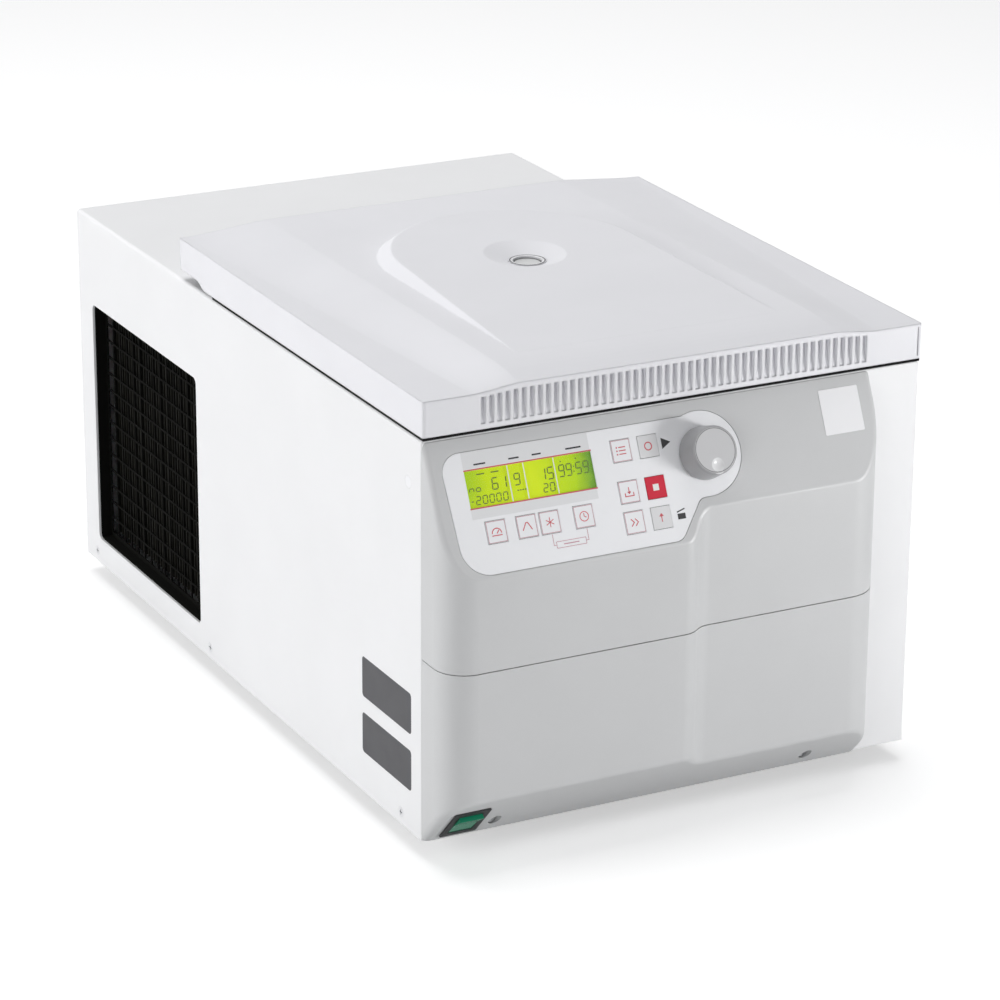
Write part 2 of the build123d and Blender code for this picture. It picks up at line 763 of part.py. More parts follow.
export_step(condenser_grille.part, "parts/condenser_grille.step")

# Condenser: fin pack on level tubes between two end plates
condenser_x = grille_x + grille_depth + 1.5
condenser_thickness = 22.0
condenser_span = 190.0
condenser_height = 190.0
fin_count = 38
tube_rows = 6
with BuildPart() as condenser:
    for row in range(fin_count):
        fin_y = grille_middle[0] - condenser_span / 2 + row * condenser_span / (fin_count - 1)
        with BuildSketch(facing_front(fin_y)):
            with Locations((condenser_x + condenser_thickness / 2, grille_middle[1])):
                Rectangle(condenser_thickness, condenser_height)
        extrude(amount=0.6, both=True)
    with BuildSketch(facing_front(grille_middle[0] + condenser_span / 2)):
        with Locations((condenser_x + condenser_thickness / 2, grille_middle[1])):
            with GridLocations(0, condenser_height / tube_rows, 1, tube_rows):
                Circle(4)
    extrude(amount=condenser_span)
condenser.part.label = "condenser"
export_step(condenser.part, "parts/condenser.step")

# Fan: square shroud with three struts that hold the motor, and the bladed wheel
fan_x = condenser_x + condenser_thickness + 6.0
fan_axis_y = grille_middle[0]
fan_axis_z = grille_middle[1]
fan_hole = 82.0
fan_ring = 12.0
hub_radius = 23.0
hub_length = 18.0
strut_x = fan_x + fan_ring + 14.0
with BuildPart() as fan_frame:
    with BuildSketch(Plane.YZ.offset(fan_x)):
        with Locations((fan_axis_y, fan_axis_z)):
            RectangleRounded(186, 186, radius=8)
            Circle(fan_hole, mode=Mode.SUBTRACT)
    extrude(amount=2)
    with BuildSketch(Plane.YZ.offset(fan_x)):
        with Locations((fan_axis_y, fan_axis_z)):
            Circle(fan_hole + 2)
            Circle(fan_hole, mode=Mode.SUBTRACT)
    extrude(amount=strut_x - fan_x + 3)
    with BuildSketch(Plane.YZ.offset(strut_x)):
        with Locations((fan_axis_y, fan_axis_z)):
            with PolarLocations((fan_hole + hub_radius) / 2, 3, start_angle=90):
                Rectangle(fan_hole - hub_radius + 6, 8)
            Circle(hub_radius)
    extrude(amount=3)
    with BuildSketch(Plane.YZ.offset(strut_x + 3)):
        with Locations((fan_axis_y, fan_axis_z)):
            Circle(hub_radius - 4)
    extrude(amount=14)
    with BuildSketch(Plane.YZ.offset(strut_x)):
        with Locations((fan_axis_y, fan_axis_z)):
            Circle(3 + running_gap)
    extrude(amount=12, mode=Mode.SUBTRACT)
fan_frame.part.label = "fan_frame"
export_step(fan_frame.part, "parts/fan_frame.step")

blade_count = 7
blade_span = 54.0
blade_chord = 24.0
blade_pitch = 32.0
wheel_x = fan_x + 6.0
with BuildPart() as fan_rotor:
    with BuildSketch(Plane.YZ.offset(wheel_x)):
        with Locations((fan_axis_y, fan_axis_z)):
            Circle(hub_radius)
    extrude(amount=hub_length)
    with BuildSketch(Plane.YZ.offset(wheel_x + hub_length)):
        with Locations((fan_axis_y, fan_axis_z)):
            Circle(3)
    extrude(amount=strut_x + 10 - wheel_x - hub_length)
    wheel = Plane(origin=(wheel_x + hub_length / 2, fan_axis_y, fan_axis_z), x_dir=(0, 1, 0), z_dir=(1, 0, 0))
    with Locations(wheel):
        with PolarLocations(hub_radius + blade_span / 2 - 1, blade_count):
            Box(blade_span, blade_chord, 1.8, rotation=(blade_pitch, 0, 0))
fan_rotor.part.label = "fan_rotor"
export_step(fan_rotor.part, "parts/fan_rotor.step")

# Compressor: domed can on a foot plate with four rubber grommets
compressor_place = (85.0, front + 510.0)
can_radius = 66.0
can_height = 150.0
can_low = base + sheet + 16.0
with BuildPart() as compressor:
    with BuildSketch(Plane.XY.offset(can_low)):
        with Locations(compressor_place):
            Circle(can_radius)
    extrude(amount=can_height)
    fillet(compressor.edges().filter_by(GeomType.CIRCLE), radius=28)
    with BuildSketch(Plane.XY.offset(can_low + can_height * 0.55)):
        with Locations(compressor_place):
            Circle(can_radius + 2.5)
    extrude(amount=5)
    with BuildSketch(Plane.XY.offset(can_low - 3)):
        with Locations(compressor_place):
            RectangleRounded(170, 120, radius=10)
    extrude(amount=4)
    with BuildSketch(Plane.XY.offset(base + sheet)):
        with Locations(compressor_place):
            with GridLocations(146, 96, 2, 2):
                Circle(9)
    extrude(amount=can_low - 3 - base - sheet)
    with BuildSketch(Plane.YZ.offset(compressor_place[0] + 60)):
        with Locations((compressor_place[1], can_low + 70)):
            RectangleRounded(44, 54, radius=4)
    extrude(amount=26)
compressor.part.label = "compressor"
export_step(compressor.part, "parts/compressor.step")

# Refrigerant lines: discharge, suction and liquid, copper tube with bent corners
tube_radius = 4.0
bend = 18.0
can_top = can_low + can_height
condenser_middle_x = condenser_x + condenser_thickness / 2
line_routes = [
    [
        (compressor_place[0], compressor_place[1] + 20, can_top),
        (compressor_place[0], compressor_place[1] + 20, base + 245),
        (compressor_place[0], rear - 24, base + 245),
        (condenser_middle_x, rear - 24, base + 245),
        (condenser_middle_x, rear - 24, fan_axis_z + 79),
        (condenser_middle_x, grille_middle[0] + condenser_span / 2 + 0.7, fan_axis_z + 79),
    ],
    [
        (compressor_place[0] - 30, compressor_place[1] - 20, can_top),
        (compressor_place[0] - 30, compressor_place[1] - 20, base + 235),
        (compressor_place[0] - 30, chamber_y + guard_radius + 1, base + 235),
    ],
    [
        (condenser_middle_x, grille_middle[0] - condenser_span / 2 - 0.7, fan_axis_z - 79),
        (condenser_middle_x, grille_middle[0] - condenser_span / 2 - 30, fan_axis_z - 79),
        (-130.0, grille_middle[0] - condenser_span / 2 - 30, fan_axis_z - 79),
        (-130.0, grille_middle[0] - condenser_span / 2 - 30, base + 200),
    ],
]
line_bends = [12.0, bend, 12.0]
with BuildPart() as refrigerant_lines:
    for route, bend_radius_here in zip(line_routes, line_bends):
        start = Vector(*route[0])
        with BuildLine() as path:
            FilletPolyline(*route, radius=bend_radius_here)
        with BuildSketch(Plane(origin=start, z_dir=Vector(*route[1]) - start)):
            Circle(tube_radius)
        sweep(path=path.wires()[0])
refrigerant_lines.part.label = "refrigerant_lines"
export_step(refrigerant_lines.part, "parts/refrigerant_lines.step")

# Inverter: upright board with a finned heat sink at the right rear wall
inverter_x = half_width - sheet - 6.0
inverter_place = (front + 505.0, base + 228.0)
with BuildPart() as inverter_board:
    with BuildSketch(Plane.YZ.offset(inverter_x)):
        with Locations(inverter_place):
            Rectangle(190, 90)
    extrude(amount=-1.6)
    with BuildSketch(Plane.YZ.offset(inverter_x - 1.6)):
        with Locations((inverter_place[0] - 45, inverter_place[1])):
            Rectangle(80, 70)
    extrude(amount=-5)
    with BuildSketch(Plane.YZ.offset(inverter_x - 6.6)):
        with Locations((inverter_place[0] - 45, inverter_place[1])):
            with GridLocations(8.0, 0, 10, 1):
                Rectangle(2, 70)
    extrude(amount=-16)
    with BuildSketch(Plane.YZ.offset(inverter_x - 1.6)):
        with Locations((inverter_place[0] + 50, inverter_place[1])):
            with GridLocations(32, 32, 2, 2):
                Circle(12)
    extrude(amount=-26)
inverter_board.part.label = "inverter_board"
export_step(inverter_board.part, "parts/inverter_board.step")


# Chamber: guard ring, foam, cooling coil, bowl and gasket, all round the drive axis
def round_section(points):
    """Revolve an outline of radius and height points round the drive axis."""
    with BuildSketch(facing_front(chamber_y), mode=Mode.PRIVATE) as section:
        with BuildLine():
            Polyline(*points, close=True)
        make_face()
    return section.sketch


drive_axis = Axis((0, chamber_y, 0), (0, 0, 1))
guard_wall = 4.0
guard_low = base + sheet + 0.2
guard_top = deck - sheet - 4.0
with BuildPart() as guard_ring:
    with BuildSketch(Plane.XY.offset(guard_low)):
        with Locations((0, chamber_y)):
            Circle(guard_radius)
            Circle(guard_radius - guard_wall, mode=Mode.SUBTRACT)
    extrude(amount=guard_top - guard_low)
    # four windows at the foot let cooling air reach the motor
    for turn in (0, 90):
        with BuildSketch(Plane(origin=(0, chamber_y, 0), x_dir=(cos(radians(turn)), sin(radians(turn)), 0),
                               z_dir=(-sin(radians(turn)), cos(radians(turn)), 0))):
            with Locations((0, -(guard_low + 55)) if turn == 0 else (0, guard_low + 55)):
                RectangleRounded(120, 80, radius=10)
        extrude(amount=guard_radius + 5, both=True, mode=Mode.SUBTRACT)
guard_ring.part.label = "guard_ring"
export_step(guard_ring.part, "parts/guard_ring.step")

bowl_outer = bowl_radius + bowl_wall
foam_outer = guard_radius - guard_wall - 0.5
coil_radius = 142.0
coil_tube = 3.5
coil_pitch = 12.0
coil_turns = 8
foam_inner = coil_radius + coil_tube + 1.5
foam_low = base + 152.0
with BuildPart() as chamber_insulation:
    add(round_section([
        (40, foam_low),
        (foam_outer, foam_low),
        (foam_outer, guard_top),
        (foam_inner, guard_top),
        (foam_inner, foam_low + 14),
        (40, foam_low + 14),
    ]))
    revolve(axis=drive_axis)
chamber_insulation.part.label = "chamber_insulation"
export_step(chamber_insulation.part, "parts/chamber_insulation.step")

coil_low = base + 188.0
with BuildPart() as evaporator_coil:
    with BuildLine(Plane(origin=(0, chamber_y, coil_low))) as coil_path:
        Helix(pitch=coil_pitch, height=coil_pitch * coil_turns, radius=coil_radius)
    with BuildSketch(Plane(origin=coil_path.line @ 0, z_dir=coil_path.line % 0)):
        Circle(coil_tube)
    sweep(path=coil_path.line, is_frenet=True)
evaporator_coil.part.label = "evaporator_coil"
export_step(evaporator_coil.part, "parts/evaporator_coil.step")

floor_z = base + bowl_floor
bowl_corner = 22.0
lip_radius = bowl_outer + 14.0
lip_top = deck - sheet - 0.05
shaft_collar = 16.0
with BuildPart() as chamber_bowl:
    with BuildSketch(facing_front(chamber_y)):
        with BuildLine():
            Line((shaft_collar, floor_z - bowl_wall), (bowl_outer - bowl_corner, floor_z - bowl_wall))
            TangentArc((bowl_outer - bowl_corner, floor_z - bowl_wall),
                       (bowl_outer, floor_z - bowl_wall + bowl_corner), tangent=(1, 0))
            Line((bowl_outer, floor_z - bowl_wall + bowl_corner), (bowl_outer, lip_top - bowl_wall))
            Line((bowl_outer, lip_top - bowl_wall), (lip_radius, lip_top - bowl_wall))
            Line((lip_radius, lip_top - bowl_wall), (lip_radius, lip_top))
            Line((lip_radius, lip_top), (bowl_radius, lip_top))
            Line((bowl_radius, lip_top), (bowl_radius, floor_z - bowl_wall + bowl_corner))
            TangentArc((bowl_radius, floor_z - bowl_wall + bowl_corner),
                       (bowl_outer - bowl_corner, floor_z), tangent=(0, -1))
            Line((bowl_outer - bowl_corner, floor_z), (shaft_collar + bowl_wall, floor_z))
            Line((shaft_collar + bowl_wall, floor_z), (shaft_collar + bowl_wall, floor_z + 5))
            Line((shaft_collar + bowl_wall, floor_z + 5), (shaft_collar, floor_z + 5))
            Line((shaft_collar, floor_z + 5), (shaft_collar, floor_z - bowl_wall))
        make_face()
    revolve(axis=drive_axis)
chamber_bowl.part.label = "chamber_bowl"
export_step(chamber_bowl.part, "parts/chamber_bowl.step")

gasket_inner = deck_hole_radius + 3.0
gasket_outer = gasket_inner + 12.0
with BuildPart() as chamber_gasket:
    with BuildSketch(Plane.XY.offset(deck)):
        with Locations((0, chamber_y)):
            Circle(gasket_outer)
            Circle(gasket_inner, mode=Mode.SUBTRACT)
    extrude(amount=gasket_height)
    fillet(chamber_gasket.edges().group_by(Axis.Z)[-1], radius=1.0)
chamber_gasket.part.label = "chamber_gasket"
export_step(chamber_gasket.part, "parts/chamber_gasket.step")

# Motor on a plate that floats on three rubber mounts
mount_radius = 13.0
mount_circle = 70.0
plate_low = base + 36.0
plate_top = plate_low + 6.0
motor_radius = 52.0
motor_top = base + 148.0
bearing_outer = 17.5
bearing_width = 10.0
lower_seat = plate_top + 4.0
upper_seat = motor_top - 4.0 - bearing_width
with BuildPart() as vibration_mounts:
    with BuildSketch(Plane.XY.offset(base + sheet)):
        with Locations((0, chamber_y)):
            with PolarLocations(mount_circle, 3, start_angle=30):
                Circle(mount_radius)
    extrude(amount=plate_low - base - sheet)
    rubber_edges = vibration_mounts.edges().filter_by(GeomType.CIRCLE)
    fillet(rubber_edges, radius=2)
vibration_mounts.part.label = "vibration_mounts"
export_step(vibration_mounts.part, "parts/vibration_mounts.step")

with BuildPart() as motor_plate:
    with BuildSketch(Plane.XY.offset(plate_low)):
        with Locations((0, chamber_y)):
            Circle(88)
            Circle(22, mode=Mode.SUBTRACT)
    extrude(amount=plate_top - plate_low)
motor_plate.part.label = "motor_plate"
export_step(motor_plate.part, "parts/motor_plate.step")

with BuildPart() as motor_housing:
    add(round_section([
        (12, plate_top),
        (motor_radius + 8, plate_top),
        (motor_radius + 8, plate_top + 5),
        (motor_radius, plate_top + 5),
        (motor_radius, motor_top),
        (12, motor_top),
        (12, motor_top - 4),
        (bearing_outer, motor_top - 4),
        (bearing_outer, upper_seat),
        (24, upper_seat),
        (24, upper_seat + 3),
        (motor_radius - 3.5, upper_seat + 3),
        (motor_radius - 3.5, lower_seat + bearing_width - 3),
        (24, lower_seat + bearing_width - 3),
        (24, lower_seat + bearing_width),
        (bearing_outer, lower_seat + bearing_width),
        (bearing_outer, lower_seat),
        (12, lower_seat),
    ]))
    revolve(axis=drive_axis)
    # cooling ribs round the motor
    with BuildSketch(Plane.XY.offset(plate_top + 5)):
        with Locations((0, chamber_y)):
            with PolarLocations(motor_radius + 2, 24):
                Rectangle(6, 2.4)
    extrude(amount=motor_top - plate_top - 12)
motor_housing.part.label = "motor_housing"
export_step(motor_housing.part, "parts/motor_housing.step")

core_low = lower_seat + bearing_width + 6
core_top = upper_seat - 6
with BuildPart() as motor_stator:
    with BuildSketch(Plane.XY.offset(core_low)):
        with Locations((0, chamber_y)):
            Circle(motor_radius - 3.55)
            Circle(30, mode=Mode.SUBTRACT)
            with PolarLocations(37, 18):
                Rectangle(9, 3.5, mode=Mode.SUBTRACT)
    extrude(amount=core_top - core_low)
motor_stator.part.label = "motor_stator"
export_step(motor_stator.part, "parts/motor_stator.step")

with BuildPart() as motor_core:
    with BuildSketch(Plane.XY.offset(core_low)):
        with Locations((0, chamber_y)):
            Circle(29.4)
            Circle(shaft_radius + 0.02, mode=Mode.SUBTRACT)
    extrude(amount=core_top - core_low)
motor_core.part.label = "motor_core"
export_step(motor_core.part, "parts/motor_core.step")

with BuildPart() as motor_bearings:
    for seat_z in (lower_seat, upper_seat):
        with BuildSketch(Plane.XY.offset(seat_z)):
            with Locations((0, chamber_y)):
                Circle(bearing_outer - 0.02)
                Circle(shaft_radius + running_gap, mode=Mode.SUBTRACT)
        extrude(amount=bearing_width)
motor_bearings.part.label = "motor_bearings"
export_step(motor_bearings.part, "parts/motor_bearings.step")

# Drive shaft with a cone seat and a thread for the rotor nut
shoulder_z = base + 186.0
cone_low = shoulder_z + 4.0
cone_top = cone_low + 34.0
thread_top = base + 275.0
shoulder_radius = 11.0
cone_radius = 9.0
thread_radius = 5.0
with BuildPart() as drive_shaft:
    add(round_section([
        (0, lower_seat + 0.5),
        (shaft_radius, lower_seat + 0.5),
        (shaft_radius, motor_top + 8),
        (shoulder_radius, motor_top + 12),
        (shoulder_radius, cone_low),
        (cone_radius, cone_top),
        (thread_radius, cone_top),
        (thread_radius, thread_top),
        (0, thread_top),
    ]))
    revolve(axis=drive_axis)
drive_shaft.part.label = "drive_shaft"
export_step(drive_shaft.part, "parts/drive_shaft.step")

# Fixed-angle rotor with six tilted tube bores
rotor_low = base + 188.0
rotor_top = base + 282.0
rotor_rim = 112.0
rotor_fit = 0.09
shoulder_out = 84.0
hub_out = 30.0
cone_drop = 28.0
recess_radius = 22.0
recess_floor = base + 262.0
bore_radius = 15.0
bore_circle = 57.0
bore_depth = 72.0
bore_count = 6
bore_tilt = atan2(cone_drop, shoulder_out - hub_out)
bore_mouth_z = rotor_top - cone_drop * (bore_circle - hub_out) / (shoulder_out - hub_out)
with BuildPart() as rotor:
    add(round_section([
        (shoulder_radius + rotor_fit, rotor_low),
        (104, rotor_low),
        (rotor_rim, rotor_low + 8),
        (rotor_rim, rotor_low + 26),
        (shoulder_out, rotor_top - cone_drop),
        (hub_out, rotor_top),
        (recess_radius, rotor_top),
        (recess_radius, recess_floor),
        (thread_radius + 0.3, recess_floor),
        (thread_radius + 0.3, cone_top + 1),
        (cone_radius + rotor_fit, cone_top + 1),
        (cone_radius + rotor_fit, cone_top),
        (shoulder_radius + rotor_fit, cone_low),
    ]))
    revolve(axis=drive_axis)
    for place in range(bore_count):
        angle = radians(360 * place / bore_count)
        outward = Vector(cos(angle), sin(angle), 0)
        mouth = Vector(0, chamber_y, bore_mouth_z) + outward * bore_circle
        along = outward * sin(bore_tilt) + Vector(0, 0, -cos(bore_tilt))
        with BuildSketch(Plane(origin=mouth - along * 20, z_dir=along)):
            Circle(bore_radius)
        extrude(amount=20 + bore_depth, mode=Mode.SUBTRACT)
    rotor_edges = rotor.edges().filter_by(lambda e: e.geom_type == GeomType.CIRCLE and e.radius > 80)
    fillet(rotor_edges, radius=2)
rotor.part.label = "rotor"
export_step(rotor.part, "parts/rotor.step")

nut_radius = 18.0
nut_top = base + 291.0
with BuildPart() as rotor_nut:
    with BuildSketch(Plane.XY.offset(recess_floor + 0.05)):
        with Locations((0, chamber_y)):
            Circle(nut_radius)
            with PolarLocations(nut_radius + 1, 12):
                Circle(2.4, mode=Mode.SUBTRACT)
    extrude(amount=nut_top - recess_floor - 0.05)
    fillet(rotor_nut.edges().group_by(Axis.Z)[-1], radius=1.2)
    with BuildSketch(Plane.XY.offset(recess_floor)):
        with Locations((0, chamber_y)):
            Circle(thread_radius + 0.02)
    extrude(amount=thread_top + 0.5 - recess_floor, mode=Mode.SUBTRACT)
rotor_nut.part.label = "rotor_nut"
export_step(rotor_nut.part, "parts/rotor_nut.step")


# Lid: shell with low side wings, a raised middle that rolls down to the front edge, and a dome
def wing_z(y):
    """Height of the side wings, rising steadily to the rear."""
    return deck + wing_front + (wing_rear - wing_front) * (y - lid_front) / lid_length


def plateau_z(y):
    """Height of the raised middle, which rolls off towards the front edge."""
    back = y - lid_front
    level = deck + plateau_front + plateau_rise * back / lid_length
    return level - front_roll * exp(-back / front_roll_reach)


def lid_section(y, inset, low):
    """Cross-section of the lid at y, with its sides and top moved in by inset."""
    side = half_width - inset
    wing = wing_z(y) - inset
    top = plateau_z(y) - inset
    outer = plateau_outer + (plateau_outer_rear - plateau_outer) * (y - lid_front) / lid_length
    run = outer - plateau_inner
    low_handle = (outer - 0.22 * run, wing + 0.03 * (top - wing))
    high_handle = (plateau_inner + 0.18 * run, top - 0.07 * (top - wing))
    with BuildSketch(facing_front(y), mode=Mode.PRIVATE) as section:
        with BuildLine():
            Line((-side, low), (-side, wing))
            Line((-side, wing), (-outer, wing))
            Bezier((-outer, wing), (-low_handle[0], low_handle[1]),
                   (-high_handle[0], high_handle[1]), (-plateau_inner, top))
            Line((-plateau_inner, top), (plateau_inner, top))
            Bezier((plateau_inner, top), high_handle, low_handle, (outer, wing))
            Line((outer, wing), (side, wing))
            Line((side, wing), (side, low))
            Line((side, low), (-side, low))
        make_face()
    return section.sketch


dome_radius = 97.0
dome_centre_back = 245.0
dome_top = 44.6
dome_slope = 2.15
dome_foot = 34.0
dome_taper = 52.0
dome_start = 38.0
dome_edge_radius = 1.5
dish_radius = 30.6
dish_floor = deck + 39.5
dish_slope = 0.3
dish_run = 32.0
port_radius = 13.8


def lid_dome(inset):
    """Arch-shaped rise of the lid with sloping sides under a top that climbs to the rear."""
    top = Plane(
        origin=(0, chamber_y, deck + dome_top),
        x_dir=(1, 0, 0),
        z_dir=(0, -sin(radians(dome_slope)), cos(radians(dome_slope))),
    ).offset(-inset)
    side = dome_radius + (dome_top - dome_foot) * tan(radians(dome_taper)) - 0.4 * inset
    centre = front + dome_centre_back
    start = front + dome_start + 0.4 * inset
    with BuildPart() as rise:
        with BuildSketch(Plane.XY.offset(deck + dome_foot - inset)):
            with BuildLine():
                Polyline((-side, centre), (-side, start), (side, start), (side, centre))
                ThreePointArc((side, centre), (0, centre + side), (-side, centre))
            make_face()
        extrude(amount=16, taper=dome_taper)
        split(bisect_by=top, keep=Keep.BOTTOM)
        if inset == 0:
            fillet(rise.edges().filter_by(lambda e: on_plane(e, top)), radius=dome_edge_radius)
    return rise.part


dome = lid_dome(0)
dome_hollow = lid_dome(lid_wall)

lid_stations = (0.0, 4.0, 8.0, 13.0, 19.0, 26.0, 35.0, 48.0, 70.0, lid_length)
lid_post_places = [(x, front + y) for x in (-185, 185) for y in (20, 200, 350)]
with BuildPart() as lid_cavity:
    for station in lid_stations:
        inner_y = lid_front + lid_front_wall + station * (lid_length - lid_front_wall - lid_wall) / lid_length
        add(lid_section(inner_y, lid_wall, lid_bottom - 5))
    loft(ruled=True)
    add(dome_hollow)
    # keep the posts that carry the lid plate and the floor of the port dish
    with BuildSketch(Plane.XY.offset(lid_bottom - 5)):
        with Locations(*lid_post_places):
            Circle(5)
    extrude(amount=60, mode=Mode.SUBTRACT)
    with BuildSketch(Plane.XY.offset(dish_floor - lid_wall)):
        with Locations((0, chamber_y)):
            Circle(dish_radius + 4 + lid_wall)
    extrude(amount=20, mode=Mode.SUBTRACT)

slot_count = 50
slot_pitch = 6.23
slot_row_x = -1.25
slot_width = 3.5
slot_low = 6.5
slot_reach = 21.4
slot_end_drop = 2.8
slot_depth = 5.0
slot_foot_depth = 1.0
slot_back = Plane(
    origin=(0, lid_front + slot_foot_depth, deck + slot_low),
    x_dir=(1, 0, 0),
    z_dir=(0, -slot_reach, slot_depth - slot_foot_depth),
)
with BuildPart() as lid_slots:
    with BuildSketch(facing_front(lid_front - 1)):
        for number in range(slot_count):
            slot_x = slot_row_x + (number - (slot_count - 1) / 2) * slot_pitch
            fall = max(0.0, abs(slot_x) - plateau_inner) / (plateau_outer - plateau_inner)
            slot_height = slot_reach - slot_end_drop * fall
            with Locations((slot_x, deck + slot_low + slot_height / 2)):
                Rectangle(slot_width, slot_height)
    extrude(amount=-(slot_depth + 1))
    split(bisect_by=slot_back, keep=Keep.TOP)

notch_start = 370.0
notch_end = 388.0
notch_rise = 5.2
with BuildPart() as lid_cover:
    for station in lid_stations:
        add(lid_section(lid_front + station, 0, lid_bottom))
    loft(ruled=True)
    front_uprights = lid_cover.edges().filter_by(Axis.Z).group_by(Axis.Y)[0]
    fillet(front_uprights, radius=lid_corner_radius)
    add(dome)
    add(lid_cavity.part, mode=Mode.SUBTRACT)
    # posts end where the lid plate lies
    with BuildSketch(Plane.XY.offset(lid_bottom - 1)):
        with Locations((0, (lid_front + lid_front_wall + lid_rear - lid_wall) / 2)):
            Rectangle(body_width - 2 * lid_wall, lid_length - lid_front_wall - lid_wall)
    extrude(amount=1 + sheet + 0.05, mode=Mode.SUBTRACT)
    # conical dish of the sight port
    with BuildSketch(facing_front(chamber_y)):
        with BuildLine():
            Polyline((0, dish_floor), (port_radius, dish_floor),
                     (port_radius + dish_run, dish_floor + dish_slope * dish_run),
                     (0, dish_floor + dish_slope * dish_run), close=True)
        make_face()
    revolve(axis=drive_axis, mode=Mode.SUBTRACT)
    with BuildSketch(Plane.XY.offset(lid_bottom)):
        with Locations((0, chamber_y)):
            Circle(port_radius)
    extrude(amount=60, mode=Mode.SUBTRACT)
    # raised rear edge that clears the deck as the lid swings
    with BuildSketch(Plane.YZ.offset(-half_width - 1)):
        with BuildLine():
            Line((front + notch_start, lid_bottom - 2), (front + notch_start, lid_bottom))
            Bezier((front + notch_start, lid_bottom),
                   (front + (notch_start + notch_end) / 2, lid_bottom),
                   (front + (notch_start + notch_end) / 2, lid_bottom + notch_rise),
                   (front + notch_end, lid_bottom + notch_rise))
            Line((front + notch_end, lid_bottom + notch_rise), (lid_rear + 2, lid_bottom + notch_rise + 0.4))
            Line((lid_rear + 2, lid_bottom + notch_rise + 0.4), (lid_rear + 2, lid_bottom - 2))
            Line((lid_rear + 2, lid_bottom - 2), (front + notch_start, lid_bottom - 2))
        make_face()
    extrude(amount=body_width + 2, mode=Mode.SUBTRACT)
    # upright scoops in the front edge and the slit at its right end
    add(lid_slots.part, mode=Mode.SUBTRACT)
    with BuildSketch(facing_front(lid_front)):
        with Locations((half_width - 3.4, deck + 15.5)):
            Rectangle(0.9, 21)
    extrude(amount=-2, mode=Mode.SUBTRACT)
    # slots in the rear wall for the hinge brackets
    with BuildSketch(facing_front(lid_rear + 1)):
        with Locations((-hinge_x, lid_bottom + 8), (hinge_x, lid_bottom + 8)):
            Rectangle(14, 37)
    extrude(amount=lid_wall + 2, mode=Mode.SUBTRACT)
lid_cover.part.label = "lid_cover"
export_step(lid_cover.part, "parts/lid_cover.step")

hook_width = 24.0
hook_thickness = 6.0
hook_y = front + 31.0
lid_plate_front = lid_front + lid_front_wall + 0.5
lid_plate_rear = front + notch_start
with BuildPart() as lid_plate:
    with BuildSketch(Plane.XY.offset(lid_bottom)):
        with Locations((0, (lid_plate_front + lid_plate_rear) / 2)):
            Rectangle(body_width - 2 * lid_wall - 1, lid_plate_rear - lid_plate_front)
        with Locations((0, chamber_y)):
            Circle(port_radius + 0.1, mode=Mode.SUBTRACT)
        with Locations((0, hook_y)):
            Rectangle(hook_width + 0.4, hook_thickness + 0.4, mode=Mode.SUBTRACT)
    extrude(amount=sheet)
lid_plate.part.label = "lid_plate"
export_step(lid_plate.part, "parts/lid_plate.step")

# Sight port: sleeve through the lid with a clear disc near its top
port_wall = 2.8
with BuildPart() as port_bezel:
    with BuildSketch(Plane.XY.offset(lid_bottom)):
        with Locations((0, chamber_y)):
            Circle(port_radius - 0.1)
            Circle(port_radius - 0.1 - port_wall, mode=Mode.SUBTRACT)
    extrude(amount=dish_floor + 0.8 - lid_bottom)
    fillet(port_bezel.edges().group_by(Axis.Z)[-1], radius=0.6)
port_bezel.part.label = "port_bezel"
export_step(port_bezel.part, "parts/port_bezel.step")

with BuildPart() as port_window:
    with BuildSketch(Plane.XY.offset(dish_floor - 3.5)):
        with Locations((0, chamber_y)):
            Circle(port_radius - 0.15 - port_wall)
    extrude(amount=2.5)
port_window.part.label = "port_window"
export_step(port_window.part, "parts/port_window.step")

# Hook under the lid and the motor-driven lock below the deck
hook_low = deck - 26.0
hook_eye = (14.0, 9.0)
bolt_radius = 3.5
bolt_z = deck - 17.0
with BuildPart() as lid_hook:
    with BuildSketch(facing_front(hook_y + hook_thickness / 2)):
        with Locations((0, (hook_low + lid_bottom + sheet) / 2)):
            Rectangle(hook_width, lid_bottom + sheet - hook_low)
        with Locations((0, bolt_z)):
            RectangleRounded(*hook_eye, radius=1, mode=Mode.SUBTRACT)
    extrude(amount=hook_thickness)
    with BuildSketch(Plane.XY.offset(lid_bottom + sheet)):
        with Locations((0, hook_y)):
            RectangleRounded(48, 22, radius=3)
    extrude(amount=2.5)
lid_hook.part.label = "lid_hook"
export_step(lid_hook.part, "parts/lid_hook.step")

case_front = front + sheet + 2.0
case_rear = front + 50.0
case_low = deck - 50.0
with BuildPart() as lock_case:
    with BuildSketch(Plane.XY.offset(case_low)):
        with Locations((0, (case_front + case_rear) / 2)):
            RectangleRounded(64, case_rear - case_front, radius=3)
    extrude(amount=deck - sheet - 0.1 - case_low)
    with BuildSketch(Plane.XY.offset(hook_low - 4)):
        with Locations((0, front + hook_slot_back)):
            Rectangle(*hook_slot)
    extrude(amount=40, mode=Mode.SUBTRACT)
    with BuildSketch(facing_front(front + 46)):
        with Locations((0, bolt_z)):
            Circle(bolt_radius + running_gap)
    extrude(amount=46 - sheet - 4, mode=Mode.SUBTRACT)
lock_case.part.label = "lock_case"
export_step(lock_case.part, "parts/lock_case.step")

bolt_rear = hook_y - hook_thickness / 2 - 2.0
bolt_length = 18.0
with BuildPart() as lock_bolt:
    with BuildSketch(facing_front(bolt_rear)):
        with Locations((0, bolt_z)):
            Circle(bolt_radius)
    extrude(amount=bolt_length)
    chamfer(lock_bolt.edges().group_by(Axis.Y)[-1], length=0.8)
lock_bolt.part.label = "lock_bolt"
export_step(lock_bolt.part, "parts/lock_bolt.step")

